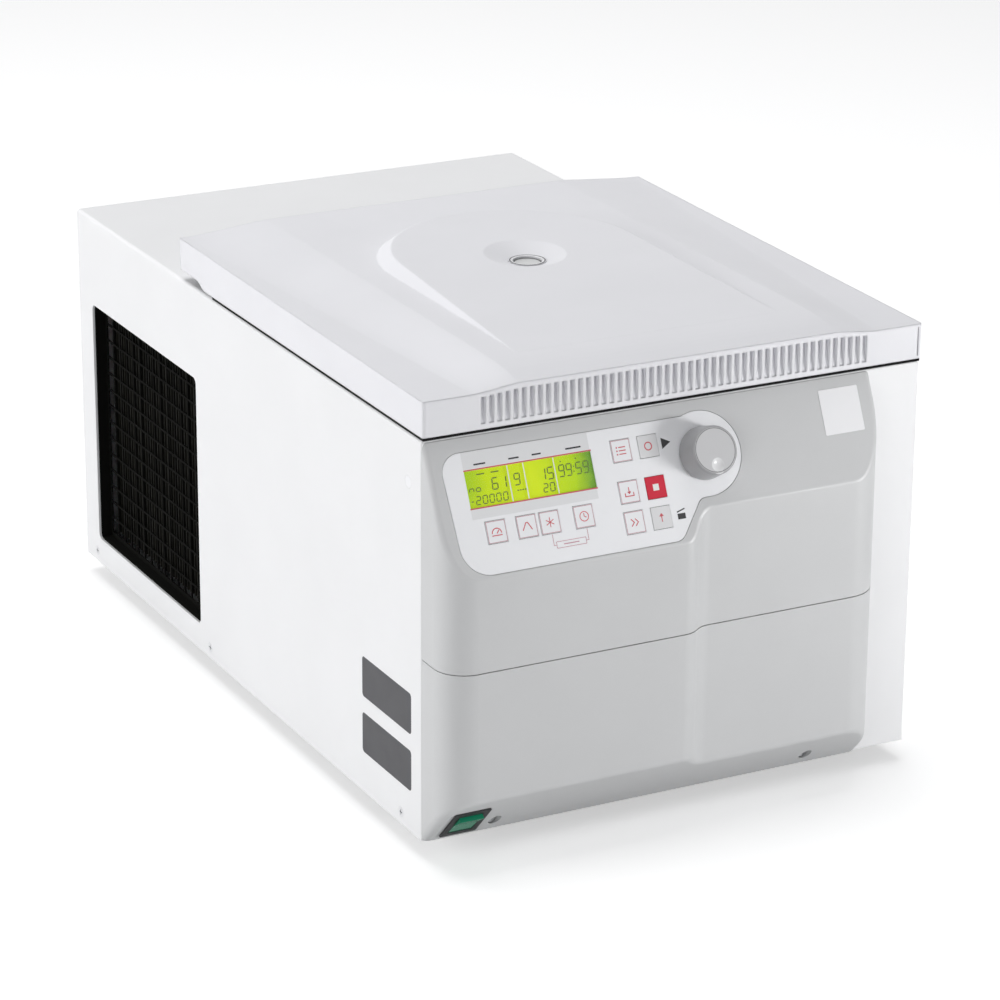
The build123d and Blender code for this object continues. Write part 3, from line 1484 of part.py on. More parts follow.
# Hinges: brackets that stand through the deck, pins, and forked arms on the lid plate
pin_radius = 4.0
bracket_thickness = 8.0
cheek_gap = 1.0
cheek_thickness = 6.0
with BuildPart() as hinge_brackets:
    for side in (-1, 1):
        with BuildSketch(Plane.YZ.offset(side * hinge_x - bracket_thickness / 2)):
            with Locations((hinge_y, (deck - sheet + hinge_z) / 2)):
                Rectangle(12, hinge_z - deck + sheet)
            with Locations((hinge_y, hinge_z)):
                Circle(8)
                Circle(pin_radius, mode=Mode.SUBTRACT)
        extrude(amount=bracket_thickness)
        with BuildSketch(Plane.XY.offset(deck - sheet - 0.05)):
            with Locations((side * hinge_x, hinge_y)):
                RectangleRounded(36, 40, radius=4)
        extrude(amount=-4)
hinge_brackets.part.label = "hinge_brackets"
export_step(hinge_brackets.part, "parts/hinge_brackets.step")

pin_reach = bracket_thickness / 2 + cheek_gap + cheek_thickness + 1.5
with BuildPart() as hinge_pins:
    for side in (-1, 1):
        with BuildSketch(Plane.YZ.offset(side * hinge_x - pin_reach)):
            with Locations((hinge_y, hinge_z)):
                Circle(pin_radius - 0.01)
        extrude(amount=2 * pin_reach)
hinge_pins.part.label = "hinge_pins"
export_step(hinge_pins.part, "parts/hinge_pins.step")

arm_front = front + 338.0
arm_rear = front + notch_start
arm_low = lid_bottom + sheet
with BuildPart() as hinge_arms:
    for side in (-1, 1):
        for cheek in (-1, 1):
            inner_x = side * hinge_x + cheek * (bracket_thickness / 2 + cheek_gap)
            with BuildSketch(Plane.YZ.offset(inner_x)):
                with BuildLine():
                    Polyline(
                        (arm_front, arm_low),
                        (arm_rear, arm_low),
                        (hinge_y + 4, hinge_z - 8),
                        (hinge_y, hinge_z + 8.9),
                        (arm_front + 12, arm_low + 12),
                        close=True,
                    )
                make_face()
                with Locations((hinge_y, hinge_z)):
                    Circle(9)
                    Circle(pin_radius + running_gap, mode=Mode.SUBTRACT)
            extrude(amount=cheek * cheek_thickness)
        with BuildSketch(Plane.XY.offset(arm_low)):
            with Locations((side * hinge_x, (arm_front + arm_rear) / 2)):
                Rectangle(40, arm_rear - arm_front)
        extrude(amount=3)
hinge_arms.part.label = "hinge_arms"
export_step(hinge_arms.part, "parts/hinge_arms.step")
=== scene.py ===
import bpy
import bmesh
from math import cos, radians, sin
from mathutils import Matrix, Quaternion, Vector


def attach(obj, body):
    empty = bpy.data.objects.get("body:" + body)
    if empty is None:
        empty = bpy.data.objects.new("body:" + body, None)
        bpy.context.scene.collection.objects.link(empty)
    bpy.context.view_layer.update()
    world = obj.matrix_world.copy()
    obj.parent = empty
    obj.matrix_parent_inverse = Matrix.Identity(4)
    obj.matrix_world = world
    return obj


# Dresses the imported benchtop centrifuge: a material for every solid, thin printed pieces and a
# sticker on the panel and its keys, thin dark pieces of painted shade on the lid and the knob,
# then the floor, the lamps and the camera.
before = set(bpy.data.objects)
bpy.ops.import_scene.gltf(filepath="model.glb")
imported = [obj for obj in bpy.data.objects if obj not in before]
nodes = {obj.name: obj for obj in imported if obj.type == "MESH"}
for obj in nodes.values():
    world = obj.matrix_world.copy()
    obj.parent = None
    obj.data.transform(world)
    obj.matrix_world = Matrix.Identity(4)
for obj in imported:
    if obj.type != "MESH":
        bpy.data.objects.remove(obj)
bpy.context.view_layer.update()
scene = bpy.context.scene

# ---------------------------------------------------------------- places on the case
MM = 1000                       # millimetres in a metre
FRONT = -0.299                  # y of the front edge of the case, metres
DECK = 0.313                    # z of the top deck, metres
TILT = radians(25.05)           # lean of the control face from upright
NORMAL = Vector((0.0, -cos(TILT), sin(TILT)))
DOWN = Vector((0.0, -sin(TILT), -cos(TILT)))
KNOB_X, KNOB_S = 11.3, 40.0     # axis of the knob on the control face, mm


def panel(x, s, lift=0.0):
    """Point of the control face: x and the way down the slope in mm, lift outwards in mm."""
    return Vector((x / MM, FRONT, DECK)) + DOWN * (s / MM) + NORMAL * (lift / MM)


# ---------------------------------------------------------------- materials
RELIEF = 0.0002                 # depth of grain and drawn lines, metres
DRIFT_SCALE = 14.0              # slow tone drift
GLOSS_SCALE = 55.0              # uneven gloss
SMUDGE_SCALE = 160.0            # smudges on clear plastic
LINES_ACROSS, LINES_ALONG = 900.0, 25.0     # drawn lines of rolled or turned metal
METAL_EDGE = 0.0004             # bevel of metal edges, metres


def tree(name):
    """New material with nothing but a Principled shader and its output."""
    m = bpy.data.materials.new(name)
    m.use_nodes = True
    t = m.node_tree
    t.nodes.clear()
    out = t.nodes.new("ShaderNodeOutputMaterial")
    bsdf = t.nodes.new("ShaderNodeBsdfPrincipled")
    t.links.new(bsdf.outputs["BSDF"], out.inputs["Surface"])
    return m, t, bsdf


def coords(t, scale=(1, 1, 1)):
    """Object coordinates, scaled."""
    tc = t.nodes.new("ShaderNodeTexCoord")
    mp = t.nodes.new("ShaderNodeMapping")
    mp.inputs["Scale"].default_value = scale
    t.links.new(tc.outputs["Object"], mp.inputs["Vector"])
    return mp.outputs["Vector"]


def noise(t, vec, scale, detail=2.0):
    n = t.nodes.new("ShaderNodeTexNoise")
    n.inputs["Scale"].default_value = scale
    n.inputs["Detail"].default_value = detail
    n.inputs["Roughness"].default_value = 0.5
    t.links.new(vec, n.inputs["Vector"])
    return n.outputs["Fac"]


def ramp(t, fac, stops):
    """Colour ramp from a list of (position, rgb)."""
    r = t.nodes.new("ShaderNodeValToRGB")
    e = r.color_ramp.elements
    while len(e) < len(stops):
        e.new(0.5)
    for el, (p, c) in zip(e, stops):
        el.position = p
        el.color = (*c, 1)
    t.links.new(fac, r.inputs["Fac"])
    return r.outputs["Color"]


def grey(value):
    return (value,) * 3


def shade(color, factor):
    """The colour made darker or lighter, at most white."""
    return tuple(min(1.0, c * factor) for c in color)


def combine(t, op, a, b):
    """Math node of two values, each a socket or a number."""
    n = t.nodes.new("ShaderNodeMath")
    n.operation = op
    for i, v in enumerate((a, b)):
        if hasattr(v, "links"):
            t.links.new(v, n.inputs[i])
        else:
            n.inputs[i].default_value = v
    return n.outputs["Value"]


def bump(t, bsdf, height, strength, distance, edge=0.0):
    """Fine relief; with an edge radius, sharp edges are shaded as rounded ones."""
    b = t.nodes.new("ShaderNodeBump")
    b.inputs["Strength"].default_value = strength
    b.inputs["Distance"].default_value = distance
    t.links.new(height, b.inputs["Height"])
    if edge:
        e = t.nodes.new("ShaderNodeBevel")
        e.samples = 4
        e.inputs["Radius"].default_value = edge
        t.links.new(e.outputs["Normal"], b.inputs["Normal"])
    t.links.new(b.outputs["Normal"], bsdf.inputs["Normal"])


def moulded(name, color, rough, grain, depth, vary, edge=0.0006, coat=0.0, metallic=0.0,
            specular=0.5):
    """Moulded, painted or cast surface: slow tone drift, uneven gloss, fine grain, soft edges."""
    m, t, bsdf = tree(name)
    v = coords(t)
    tone = ramp(t, noise(t, v, DRIFT_SCALE, 3.0),
                [(0.3, shade(color, 1 - vary)), (0.7, shade(color, 1 + vary))])
    t.links.new(tone, bsdf.inputs["Base Color"])
    gloss = ramp(t, noise(t, v, GLOSS_SCALE, 3.0),
                 [(0.3, grey(rough * 0.93)), (0.7, grey(min(1.0, rough * 1.07)))])
    t.links.new(gloss, bsdf.inputs["Roughness"])
    bsdf.inputs["Metallic"].default_value = metallic
    bsdf.inputs["Coat Weight"].default_value = coat
    bsdf.inputs["Coat Roughness"].default_value = 0.2
    bsdf.inputs["Specular IOR Level"].default_value = specular
    bump(t, bsdf, noise(t, v, grain), depth, RELIEF, edge)
    return m


def ink(name, color, rough=0.45, grain=3000.0, depth=0.03, vary=0.04):
    """Print, foil field, sticker or thin line of painted shade: like a moulding, with crisp edges.
    """
    return moulded(name, color, rough, grain, depth, vary, edge=0.0)


def brushed(name, color, rough, axis, depth=0.12):
    """Rolled or turned metal with fine drawn lines along one axis."""
    scale = [LINES_ACROSS] * 3
    scale[axis] = LINES_ALONG
    m, t, bsdf = tree(name)
    lines = noise(t, coords(t, scale), 1.0)
    t.links.new(ramp(t, lines, [(0.25, shade(color, 0.86)), (0.75, color)]),
                bsdf.inputs["Base Color"])
    t.links.new(ramp(t, lines, [(0.2, grey(rough * 0.8)), (0.8, grey(rough * 1.2))]),
                bsdf.inputs["Roughness"])
    bsdf.inputs["Metallic"].default_value = 1.0
    bump(t, bsdf, lines, depth, RELIEF, METAL_EDGE)
    return m


def clear(name, color, rough, alpha):
    """Thin clear plastic that shows what lies behind it crisply."""
    m, t, bsdf = tree(name)
    smudge = noise(t, coords(t), SMUDGE_SCALE, 3.0)
    t.links.new(ramp(t, smudge, [(0.3, grey(rough)), (0.8, grey(rough * 2.5))]),
                bsdf.inputs["Roughness"])
    t.links.new(ramp(t, smudge, [(0.2, color), (0.8, shade(color, 0.98))]),
                bsdf.inputs["Base Color"])
    bsdf.inputs["IOR"].default_value = 1.45
    bsdf.inputs["Alpha"].default_value = alpha
    return m


def lcd_material():
    """Back-lit display: yellow-green with a cloudy tone, brightest left of the middle and darker
    towards both ends.
    """
    left, per_metre = 0.1733, 10.2
    m, t, bsdf = tree("lcd_glass")
    v = coords(t)
    sx = t.nodes.new("ShaderNodeSeparateXYZ")
    t.links.new(v, sx.inputs["Vector"])
    along = combine(t, "MULTIPLY", combine(t, "ADD", sx.outputs["X"], left), per_metre)
    cloud = combine(t, "SUBTRACT", noise(t, v, 45.0), 0.5)
    mixed = combine(t, "ADD", along, combine(t, "MULTIPLY", cloud, 0.25))
    color = ramp(t, mixed, [(0.0, (0.36, 0.56, 0.012)), (0.14, (0.53, 0.68, 0.008)),
                            (0.55, (0.60, 0.74, 0.010)), (0.86, (0.42, 0.62, 0.010)),
                            (1.0, (0.16, 0.34, 0.035))])
    t.links.new(color, bsdf.inputs["Base Color"])
    t.links.new(color, bsdf.inputs["Emission Color"])
    bsdf.inputs["Emission Strength"].default_value = 0.22
    bsdf.inputs["Roughness"].default_value = 0.5
    bsdf.inputs["Specular IOR Level"].default_value = 0.1
    bump(t, bsdf, noise(t, v, 1500.0, 1.0), 0.03, 0.0001)
    return m


# case, lid and front covers
white_paint = moulded("white_powder_coat", (0.843, 0.845, 0.855), rough=0.42, grain=1300.0,
                      depth=0.10, vary=0.012, edge=0.0007)
lid_plastic = moulded("lid_moulding", (0.80, 0.80, 0.83), rough=0.5, grain=2200.0,
                      depth=0.14, vary=0.012, edge=0.0022)
cover_plastic = moulded("grey_moulding", (0.605, 0.61, 0.615), rough=0.38, grain=2200.0,
                        depth=0.10, vary=0.012)
port_white = moulded("port_ring", (0.78, 0.78, 0.80), rough=0.35, grain=1800.0,
                     depth=0.06, vary=0.015, edge=0.0003)
plate_grey = moulded("plate_grey", (0.058, 0.058, 0.064), rough=0.4, grain=2400.0,
                     depth=0.05, vary=0.03, edge=0.0002)
green = moulded("rocker_green", (0.010, 0.26, 0.135), rough=0.25, grain=1500.0,
                depth=0.04, vary=0.04, edge=0.0005, coat=0.4)

# panel foil, keys and knob
foil = moulded("panel_foil", (0.915, 0.92, 0.94), rough=0.34, grain=2600.0,
               depth=0.06, vary=0.01, edge=0.0002)
key_white = moulded("key_white", (0.90, 0.905, 0.925), rough=0.36, grain=2600.0,
                    depth=0.05, vary=0.01, edge=0.0003)
key_grey = moulded("key_grey", (0.76, 0.76, 0.77), rough=0.38, grain=2600.0,
                   depth=0.05, vary=0.015, edge=0.0003)
key_red = moulded("key_red", (0.62, 0.012, 0.040), rough=0.33, grain=2600.0,
                  depth=0.05, vary=0.02, edge=0.0003)
# one knob moulding in three tones of painted light: a lit face, a side in painted shade, a painted
# highlight in the dimple
knob_lit_face = moulded("knob_lit_face", (0.60, 0.60, 0.61), rough=0.33, grain=1600.0,
                    depth=0.06, vary=0.02, edge=0.0004)
knob_side_shade = moulded("knob_side_shade", (0.34, 0.34, 0.35), rough=0.36, grain=1600.0,
                    depth=0.08, vary=0.03, edge=0.0004)
knob_dimple_highlight = moulded("knob_dimple_highlight", (0.80, 0.80, 0.81), rough=0.22, grain=1600.0,
                      depth=0.03, vary=0.02, edge=0.0)
lcd = lcd_material()

# prints and stickers, and thin dark lines of painted shade
# painted shade: thin dark rings at the edges of the sight port and of the knob face
edge_shade_ink = ink("painted_edge_shade", (0.10, 0.10, 0.105), grain=2600.0, vary=0.05)
ink_black = ink("print_black", (0.018, 0.018, 0.020), vary=0.05)
ink_red = ink("print_red", (0.60, 0.10, 0.12))
ink_line = ink("print_outline", (0.52, 0.26, 0.31))
ink_grey = ink("print_field", (0.79, 0.795, 0.805), 0.36, grain=2600.0, depth=0.05, vary=0.01)
ink_white = ink("print_white", (0.86, 0.87, 0.84), 0.4, grain=2600.0, vary=0.01)
lcd_ink = ink("lcd_segments", (0.10, 0.17, 0.012), 0.4, depth=0.02, vary=0.05)
sticker = ink("blank_sticker", (0.91, 0.91, 0.925), 0.32, grain=2600.0, vary=0.008)

# black, rubber and foam pieces
black_plastic = moulded("black_moulding", (0.020, 0.020, 0.022), rough=0.42, grain=1600.0,
                        depth=0.12, vary=0.08)
black_sheet = moulded("black_sheet", (0.0058, 0.0058, 0.0052), rough=0.8, grain=1400.0,
                      depth=0.15, vary=0.1, edge=0.0, specular=0.03)
fins = moulded("condenser_fins", (0.010, 0.0095, 0.007), rough=0.6, grain=900.0,
               depth=0.2, vary=0.3, edge=0.0, specular=0.15)
rubber = moulded("foot_rubber", (0.022, 0.022, 0.022), rough=0.75, grain=900.0,
                 depth=0.25, vary=0.12)
# painted shade: near-black strip that fills the gap under the lid's edge
gap_shade_black = moulded("gap_shade_black", (0.008, 0.008, 0.0085), rough=0.7, grain=900.0,
                     depth=0.2, vary=0.1, edge=0.0, specular=0.1)
seal = moulded("seal_rubber", (0.06, 0.06, 0.063), rough=0.65, grain=900.0,
               depth=0.2, vary=0.1)
foam = moulded("foam", (0.72, 0.68, 0.55), rough=0.9, grain=420.0,
               depth=0.6, vary=0.08, edge=0.0)
cast = moulded("compressor_paint", (0.025, 0.025, 0.028), rough=0.4, grain=700.0,
               depth=0.2, vary=0.1, coat=0.2)
board = moulded("circuit_board", (0.02, 0.16, 0.07), rough=0.35, grain=500.0,
                depth=0.3, vary=0.3)

# metals and clear pieces
copper = moulded("copper_tube", (0.78, 0.38, 0.24), rough=0.3, grain=500.0,
                 depth=0.05, vary=0.12, metallic=1.0)
alloy = moulded("cast_alloy", (0.66, 0.67, 0.69), rough=0.38, grain=800.0,
                depth=0.12, vary=0.05, metallic=1.0)
rotor_alloy = moulded("anodised_rotor", (0.42, 0.43, 0.46), rough=0.3, grain=1200.0,
                      depth=0.06, vary=0.04, metallic=1.0)
steel_x = brushed("rolled_steel", (0.60, 0.61, 0.62), rough=0.35, axis=0)
steel_z = brushed("turned_steel", (0.58, 0.59, 0.60), rough=0.3, axis=2)
stainless = brushed("stainless_bowl", (0.66, 0.67, 0.68), rough=0.26, axis=2, depth=0.06)
window_clear = clear("display_window", (0.98, 0.99, 0.96), rough=0.03, alpha=0.012)
sight_glass = clear("sight_glass", (0.90, 0.91, 0.91), rough=0.12, alpha=0.75)

# ---------------------------------------------------------------- materials on the solids
SHARP_ANGLE = radians(24)
COLOURED_KEYS = {6: key_grey, 8: key_red, 10: key_grey}
KEY_COUNT = 10

dressed = (
    (white_paint, "housing rear_panel"),
    (lid_plastic, "lid_cover"),
    (cover_plastic, "upper_front_cover lower_front_cover"),
    (port_white, "port_bezel"),
    (plate_grey, "label_plates"),
    (green, "mains_rocker"),
    (foil, "panel_overlay"),
    (key_white, "release_plug"),
    (knob_lit_face, "selector_knob"),
    (lcd, "display_module"),
    (window_clear, "display_window"),
    (sight_glass, "port_window"),
    (black_plastic, "encoder switch_frame power_inlet fan_rotor rotor_nut"),
    (black_sheet, "condenser_grille fan_frame"),
    (fins, "condenser"),
    (rubber, "feet vibration_mounts"),
    (seal, "chamber_gasket"),
    (foam, "chamber_insulation"),
    (cast, "compressor"),
    (board, "control_board inverter_board"),
    (copper, "refrigerant_lines evaporator_coil"),
    (alloy, "motor_housing"),
    (rotor_alloy, "rotor"),
    (stainless, "chamber_bowl"),
    (steel_x, "base_plate guard_ring motor_plate hinge_pins lock_case lid_plate hinge_arms"),
    (steel_z, "case_screws motor_stator motor_bearings hinge_brackets encoder_shaft drive_shaft "
              "motor_core lid_hook lock_bolt"),
)
paint = {name: material for material, names in dressed for name in names.split()}
for n in range(1, KEY_COUNT + 1):
    paint[f"key_{n:02d}"] = COLOURED_KEYS.get(n, key_white)

for name, obj in nodes.items():
    me = obj.data
    me.materials.clear()
    me.materials.append(paint[name])
    me.shade_smooth()
    me.set_sharp_from_angle(angle=SHARP_ANGLE)
for name in ("housing", "lid_cover", "upper_front_cover", "lower_front_cover"):
    flat = nodes[name].modifiers.new("weighted_normal", "WEIGHTED_NORMAL")
    flat.keep_sharp = True
    flat.weight = 80

# the screws in the sides have light heads; their recesses stay bare steel
SCREW_HEAD_X = 0.1985           # side screw heads lie beyond this, metres
screws = nodes["case_screws"]
screws.data.materials.append(port_white)
for poly in screws.data.polygons:
    aside = abs((screws.matrix_world @ poly.center).x)
    facing = abs((screws.matrix_world.to_3x3() @ poly.normal).normalized().x)
    if aside > SCREW_HEAD_X and facing > 0.5:
        poly.material_index = 1

# painted light on the knob: a lighter face, a side darkened as painted shade and a finger dimple
# lightened as a painted highlight
KNOB_FLAT = 0.985               # cosine to the axis from which a facet counts as the face
DIMPLE_S, DIMPLE_RADIUS = 50.5, 6.5
DIMPLE_LOW, DIMPLE_HIGH = 16.0, 18.9
knob = nodes["selector_knob"]
knob.data.materials.append(knob_side_shade)
knob.data.materials.append(knob_dimple_highlight)
for poly in knob.data.polygons:
    centre = knob.matrix_world @ poly.center
    facing = (knob.matrix_world.to_3x3() @ poly.normal).normalized().dot(NORMAL)
    lift = (centre - panel(KNOB_X, KNOB_S)).dot(NORMAL) * MM
    poly.material_index = 0 if facing > KNOB_FLAT else 1
    if facing > 0.5 and DIMPLE_LOW < lift < DIMPLE_HIGH:
        if (centre - panel(KNOB_X, DIMPLE_S, lift)).length * MM < DIMPLE_RADIUS:
            poly.material_index = 2


# ---------------------------------------------------------------- meshes
def mesh_piece(name, bm, material, body):
    """Turns the bmesh into a piece that rides on the body."""
    bmesh.ops.recalc_face_normals(bm, faces=bm.faces[:])
    me = bpy.data.meshes.new(name)
    bm.to_mesh(me)
    bm.free()
    me.materials.append(material)
    ob = bpy.data.objects.new(name, me)
    scene.collection.objects.link(ob)
    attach(ob, body)


def prism(bm, outline, place, low, high):
    """Adds one prism: outline in the 2-D coordinates that place(u, v, lift) maps to space."""
    bottom = [bm.verts.new(place(u, v, low)) for u, v in outline]
    top = [bm.verts.new(place(u, v, high)) for u, v in outline]
    bm.faces.new(top)
    bm.faces.new(list(reversed(bottom)))
    n = len(outline)
    for i in range(n):
        j = (i + 1) % n
        bm.faces.new((bottom[i], bottom[j], top[j], top[i]))


def band(bm, outer, inner, place, low, high):
    """Adds a closed band between two outlines with equal numbers of points."""
    rings = [[bm.verts.new(place(u, v, h)) for u, v in line]
             for line, h in ((outer, low), (outer, high), (inner, high), (inner, low))]
    n = len(outer)
    for a, b in ((0, 1), (1, 2), (2, 3), (3, 0)):
        for i in range(n):
            j = (i + 1) % n
            bm.faces.new((rings[a][i], rings[a][j], rings[b][j], rings[b][i]))


def printed(name, outlines, material, body, low, high):
    """Print on the control face, or on a key there, as one piece."""
    bm = bmesh.new()
    for outline in outlines:
        prism(bm, outline, panel, low, high)
    mesh_piece(name, bm, material, body)


# ---------------------------------------------------------------- outlines
def box(x0, y0, x1, y1):
    return [(x0, y0), (x1, y0), (x1, y1), (x0, y1)]


def rect(cx, cy, w, h):
    return box(cx - w / 2, cy - h / 2, cx + w / 2, cy + h / 2)


def rounded(cx, cy, w, h, r):
    """Rectangle with rounded corners."""
    steps = 5
    pts = []
    for qx, qy, a0 in ((1, 1, 0), (-1, 1, 90), (-1, -1, 180), (1, -1, 270)):
        for k in range(steps + 1):
            a = radians(a0 + 90 * k / steps)
            pts.append((cx + qx * (w / 2 - r) + r * cos(a), cy + qy * (h / 2 - r) + r * sin(a)))
    return pts


def arc(cx, cy, r, a0, a1, steps=18):
    """Points of an arc from a0 to a1 degrees."""
    turns = [radians(a0 + (a1 - a0) * k / steps) for k in range(steps + 1)]
    return [(cx + r * cos(a), cy + r * sin(a)) for a in turns]


def circle(cx, cy, r):
    return arc(cx, cy, r, 0, 360, steps=60)[:-1]


def arc_band(cx, cy, r0, r1, a0, a1):
    """Closed outline of part of a ring."""
    return arc(cx, cy, r1, a0, a1) + arc(cx, cy, r0, a1, a0)


def stroke(x0, y0, x1, y1, w):
    """Straight line of width w."""
    dx, dy = x1 - x0, y1 - y0
    n = (dx * dx + dy * dy) ** 0.5
    px, py = -dy / n * w / 2, dx / n * w / 2
    return [(x0 + px, y0 + py), (x1 + px, y1 + py), (x1 - px, y1 - py), (x0 - px, y0 - py)]


# ---------------------------------------------------------------- display, in mm on the panel
FOIL_TOP = -0.1                 # the foil lies this far below the control face
PRINT = 0.05                    # thickness of a layer of print
DISPLAY_LEFT, DISPLAY_RIGHT = -173.0, -75.5
DISPLAY_X, DISPLAY_WIDTH = -123.9, 98.6
LINE_TOP, LINE_BOTTOM = 24.75, 51.25
SEGMENTS_LOW, SEGMENTS_HIGH = -1.17, -1.10

fields = [box(DISPLAY_LEFT, top, DISPLAY_RIGHT, bottom) for top, bottom in
          ((12.3, 25.1), (51.0, 58.6))]
printed("display_field", fields, ink_grey, "base", FOIL_TOP, FOIL_TOP + PRINT)
lines = [rect(DISPLAY_X, s, DISPLAY_WIDTH, 0.9) for s in (LINE_TOP, LINE_BOTTOM)]
printed("display_lines", lines, ink_red, "base", FOIL_TOP + PRINT, FOIL_TOP + 2 * PRINT)
dividers = [rect(x, (LINE_TOP + LINE_BOTTOM) / 2, 0.8, 25.0) for x in (-140.2, -127.9, -104.6)]
printed("display_dividers", dividers, ink_white, "base", FOIL_TOP, FOIL_TOP + PRINT)

SEGMENTS = {
    "0": "abcdef", "1": "bc", "2": "abged", "5": "afgcd", "6": "afgedc", "9": "abcdfg",
    "n": "egc", "o": "gecd", "-": "g",
}
LEAN = 0.08                     # slant of the characters
GAP = 0.12                      # between two segments
DOT, COLON_WIDTH = 0.8, 1.8


def digit(ch, x, s, w, h, t):
    """Outlines of one seven-segment character; x, s is its top left corner, t its line width."""
    half, mid, tip = t / 2, h / 2, t * 0.4
    spots = {
        "a": [(half + GAP, 0), (w - half - GAP, 0), (w - t - GAP, t), (t + GAP, t)],
        "g": [(half + GAP, mid), (t + GAP, mid - half), (w - t - GAP, mid - half),
              (w - half - GAP, mid), (w - t - GAP, mid + half), (t + GAP, mid + half)],
        "d": [(t + GAP, h - t), (w - t - GAP, h - t), (w - half - GAP, h), (half + GAP, h)],
        "f": [(0, half + GAP), (t, t + GAP), (t, mid - half - GAP), (tip, mid - GAP),
              (0, mid - half)],
        "b": [(w, half + GAP), (w, mid - half), (w - tip, mid - GAP), (w - t, mid - half - GAP),
              (w - t, t + GAP)],
        "e": [(0, mid + half), (tip, mid + GAP), (t, mid + half + GAP), (t, h - t - GAP),
              (0, h - half - GAP)],
        "c": [(w, mid + half), (w, h - half - GAP), (w - t, h - t - GAP),
              (w - t, mid + half + GAP), (w - tip, mid + GAP)],
    }
    return [[(x + u + LEAN * (h - v), s + v) for u, v in spots[key]] for key in SEGMENTS[ch]]


def number(text, x, s, w, h, t, pitch):
    """Outlines of a row of characters, pitch apart."""
    out = []
    for ch in text:
        if ch == ":":
            out += [rect(x + 0.9, s + h * 0.3, DOT, DOT), rect(x + 0.6, s + h * 0.7, DOT, DOT)]
            x += COLON_WIDTH
        else:
            out += digit(ch, x, s, w, h, t)
            x += pitch
    return out


# text, left, top, width, height, line width and pitch of its characters
readings = (
    ("no", -171.2, 34.6, 3.9, 5.6, 0.7, 5.2),
    ("61", -153.6, 32.0, 4.9, 8.6, 0.85, 6.4),
    ("20000", -167.6, 42.9, 4.0, 6.2, 0.75, 5.2),
    ("9", -136.6, 31.6, 4.9, 8.6, 0.85, 6.4),
    ("15", -116.8, 31.2, 4.9, 8.8, 0.85, 6.1),
    ("20", -115.6, 42.0, 4.0, 6.4, 0.75, 5.2),
    ("99:59", -101.8, 31.0, 4.7, 8.8, 0.85, 5.7),
)
shown = [outline for reading in readings for outline in number(*reading)]
shown += [rect(-160.5 + 11.0 * k, 28.3, 6.0, DOT) for k in range(2)]
shown += [rect(-134.4 + 1.9 * k, 43.6, 1.2, DOT) for k in range(4)]
shown += [[(-99.6, 29.4), (-98.2, 29.4), (-98.9, 28.2)],
          [(-87.6, 28.9), (-86.2, 28.9), (-86.9, 27.7)]]
shown += number("-", -171.6, 44.0, 3.0, 4.6, 0.7, 4.0)
printed("display_segments", shown, lcd_ink, "base", SEGMENTS_LOW, SEGMENTS_HIGH)

# ---------------------------------------------------------------- marks on the keys
KEYS = (
    (-157.0, 69.0, "gauge"), (-133.6, 69.0, "ramp"), (-115.9, 69.0, "snow"),
    (-89.3, 69.0, "clock"), (-51.5, 28.6, "list"), (-30.2, 28.6, "ring"),
    (-51.5, 57.7, "store"), (-30.2, 57.7, "square"), (-51.5, 79.2, "chevrons"),
    (-30.2, 79.2, "arrow"),
)
KEY_TOP = 0.2                   # the keys stand this far above the control face
LINE, THIN = 0.7, 0.6           # line widths of the pictograms


def icon(kind, cx, cy):
    """Plain pictogram of about 8 mm round cx, cy, drawn with lines, bars and arcs."""
    def line(x0, y0, x1, y1, w=LINE):
        return stroke(cx + x0, cy + y0, cx + x1, cy + y1, w)

    def bar(x, y, w, h=LINE):
        return rect(cx + x, cy + y, w, h)

    def wedge(*points):
        return [(cx + x, cy + y) for x, y in points]

    def ring(r0, r1):
        return [arc_band(cx, cy, r0, r1, 0, 180), arc_band(cx, cy, r0, r1, 180, 360)]

    rows = (-2.4, 0, 2.4)
    arms = [(3.4 * cos(radians(a)), 3.4 * sin(radians(a))) for a in (90, 30, 150)]
    return {
        "gauge": [arc_band(cx, cy + 1.2, 3.2, 3.9, 180, 360), line(0, 1.2, 1.9, -1.0),
                  bar(0, 2.6, 7.8)],
        "ramp": [line(-3.6, 2.6, -0.6, -2.6), line(-0.9, -2.6, 1.0, -2.6),
                 line(0.8, -2.6, 3.6, 2.6)],
        "snow": [line(-x, -y, x, y, THIN) for x, y in arms],
        "clock": ring(3.0, 3.6) + [line(0, 0, 0, -2.2, THIN), line(0, 0, 1.7, 0.8, THIN)],
        "list": [bar(0.8, y, 5.4) for y in rows] + [bar(-3.4, y, 1.0, 1.0) for y in rows],
        "ring": ring(2.3, 3.1),
        "store": [line(0, -3.2, 0, 0.4), wedge((-1.6, -0.2), (1.6, -0.2), (0, 1.7)),
                  line(-3.3, 0.6, -3.3, 3.0), bar(0, 3.0, 7.3), line(3.3, 0.6, 3.3, 3.0)],
        "square": [bar(0, 0, 4.6, 4.6)],
        "chevrons": [line(x - 1.2, -2.6, x + 1.2, 0.15) for x in (-1.6, 1.6)]
                    + [line(x + 1.2, -0.15, x - 1.2, 2.6) for x in (-1.6, 1.6)],
        "arrow": [line(0, 3.0, 0, -1.2), wedge((-1.8, -0.9), (0, -3.2), (1.8, -0.9))],
    }[kind]


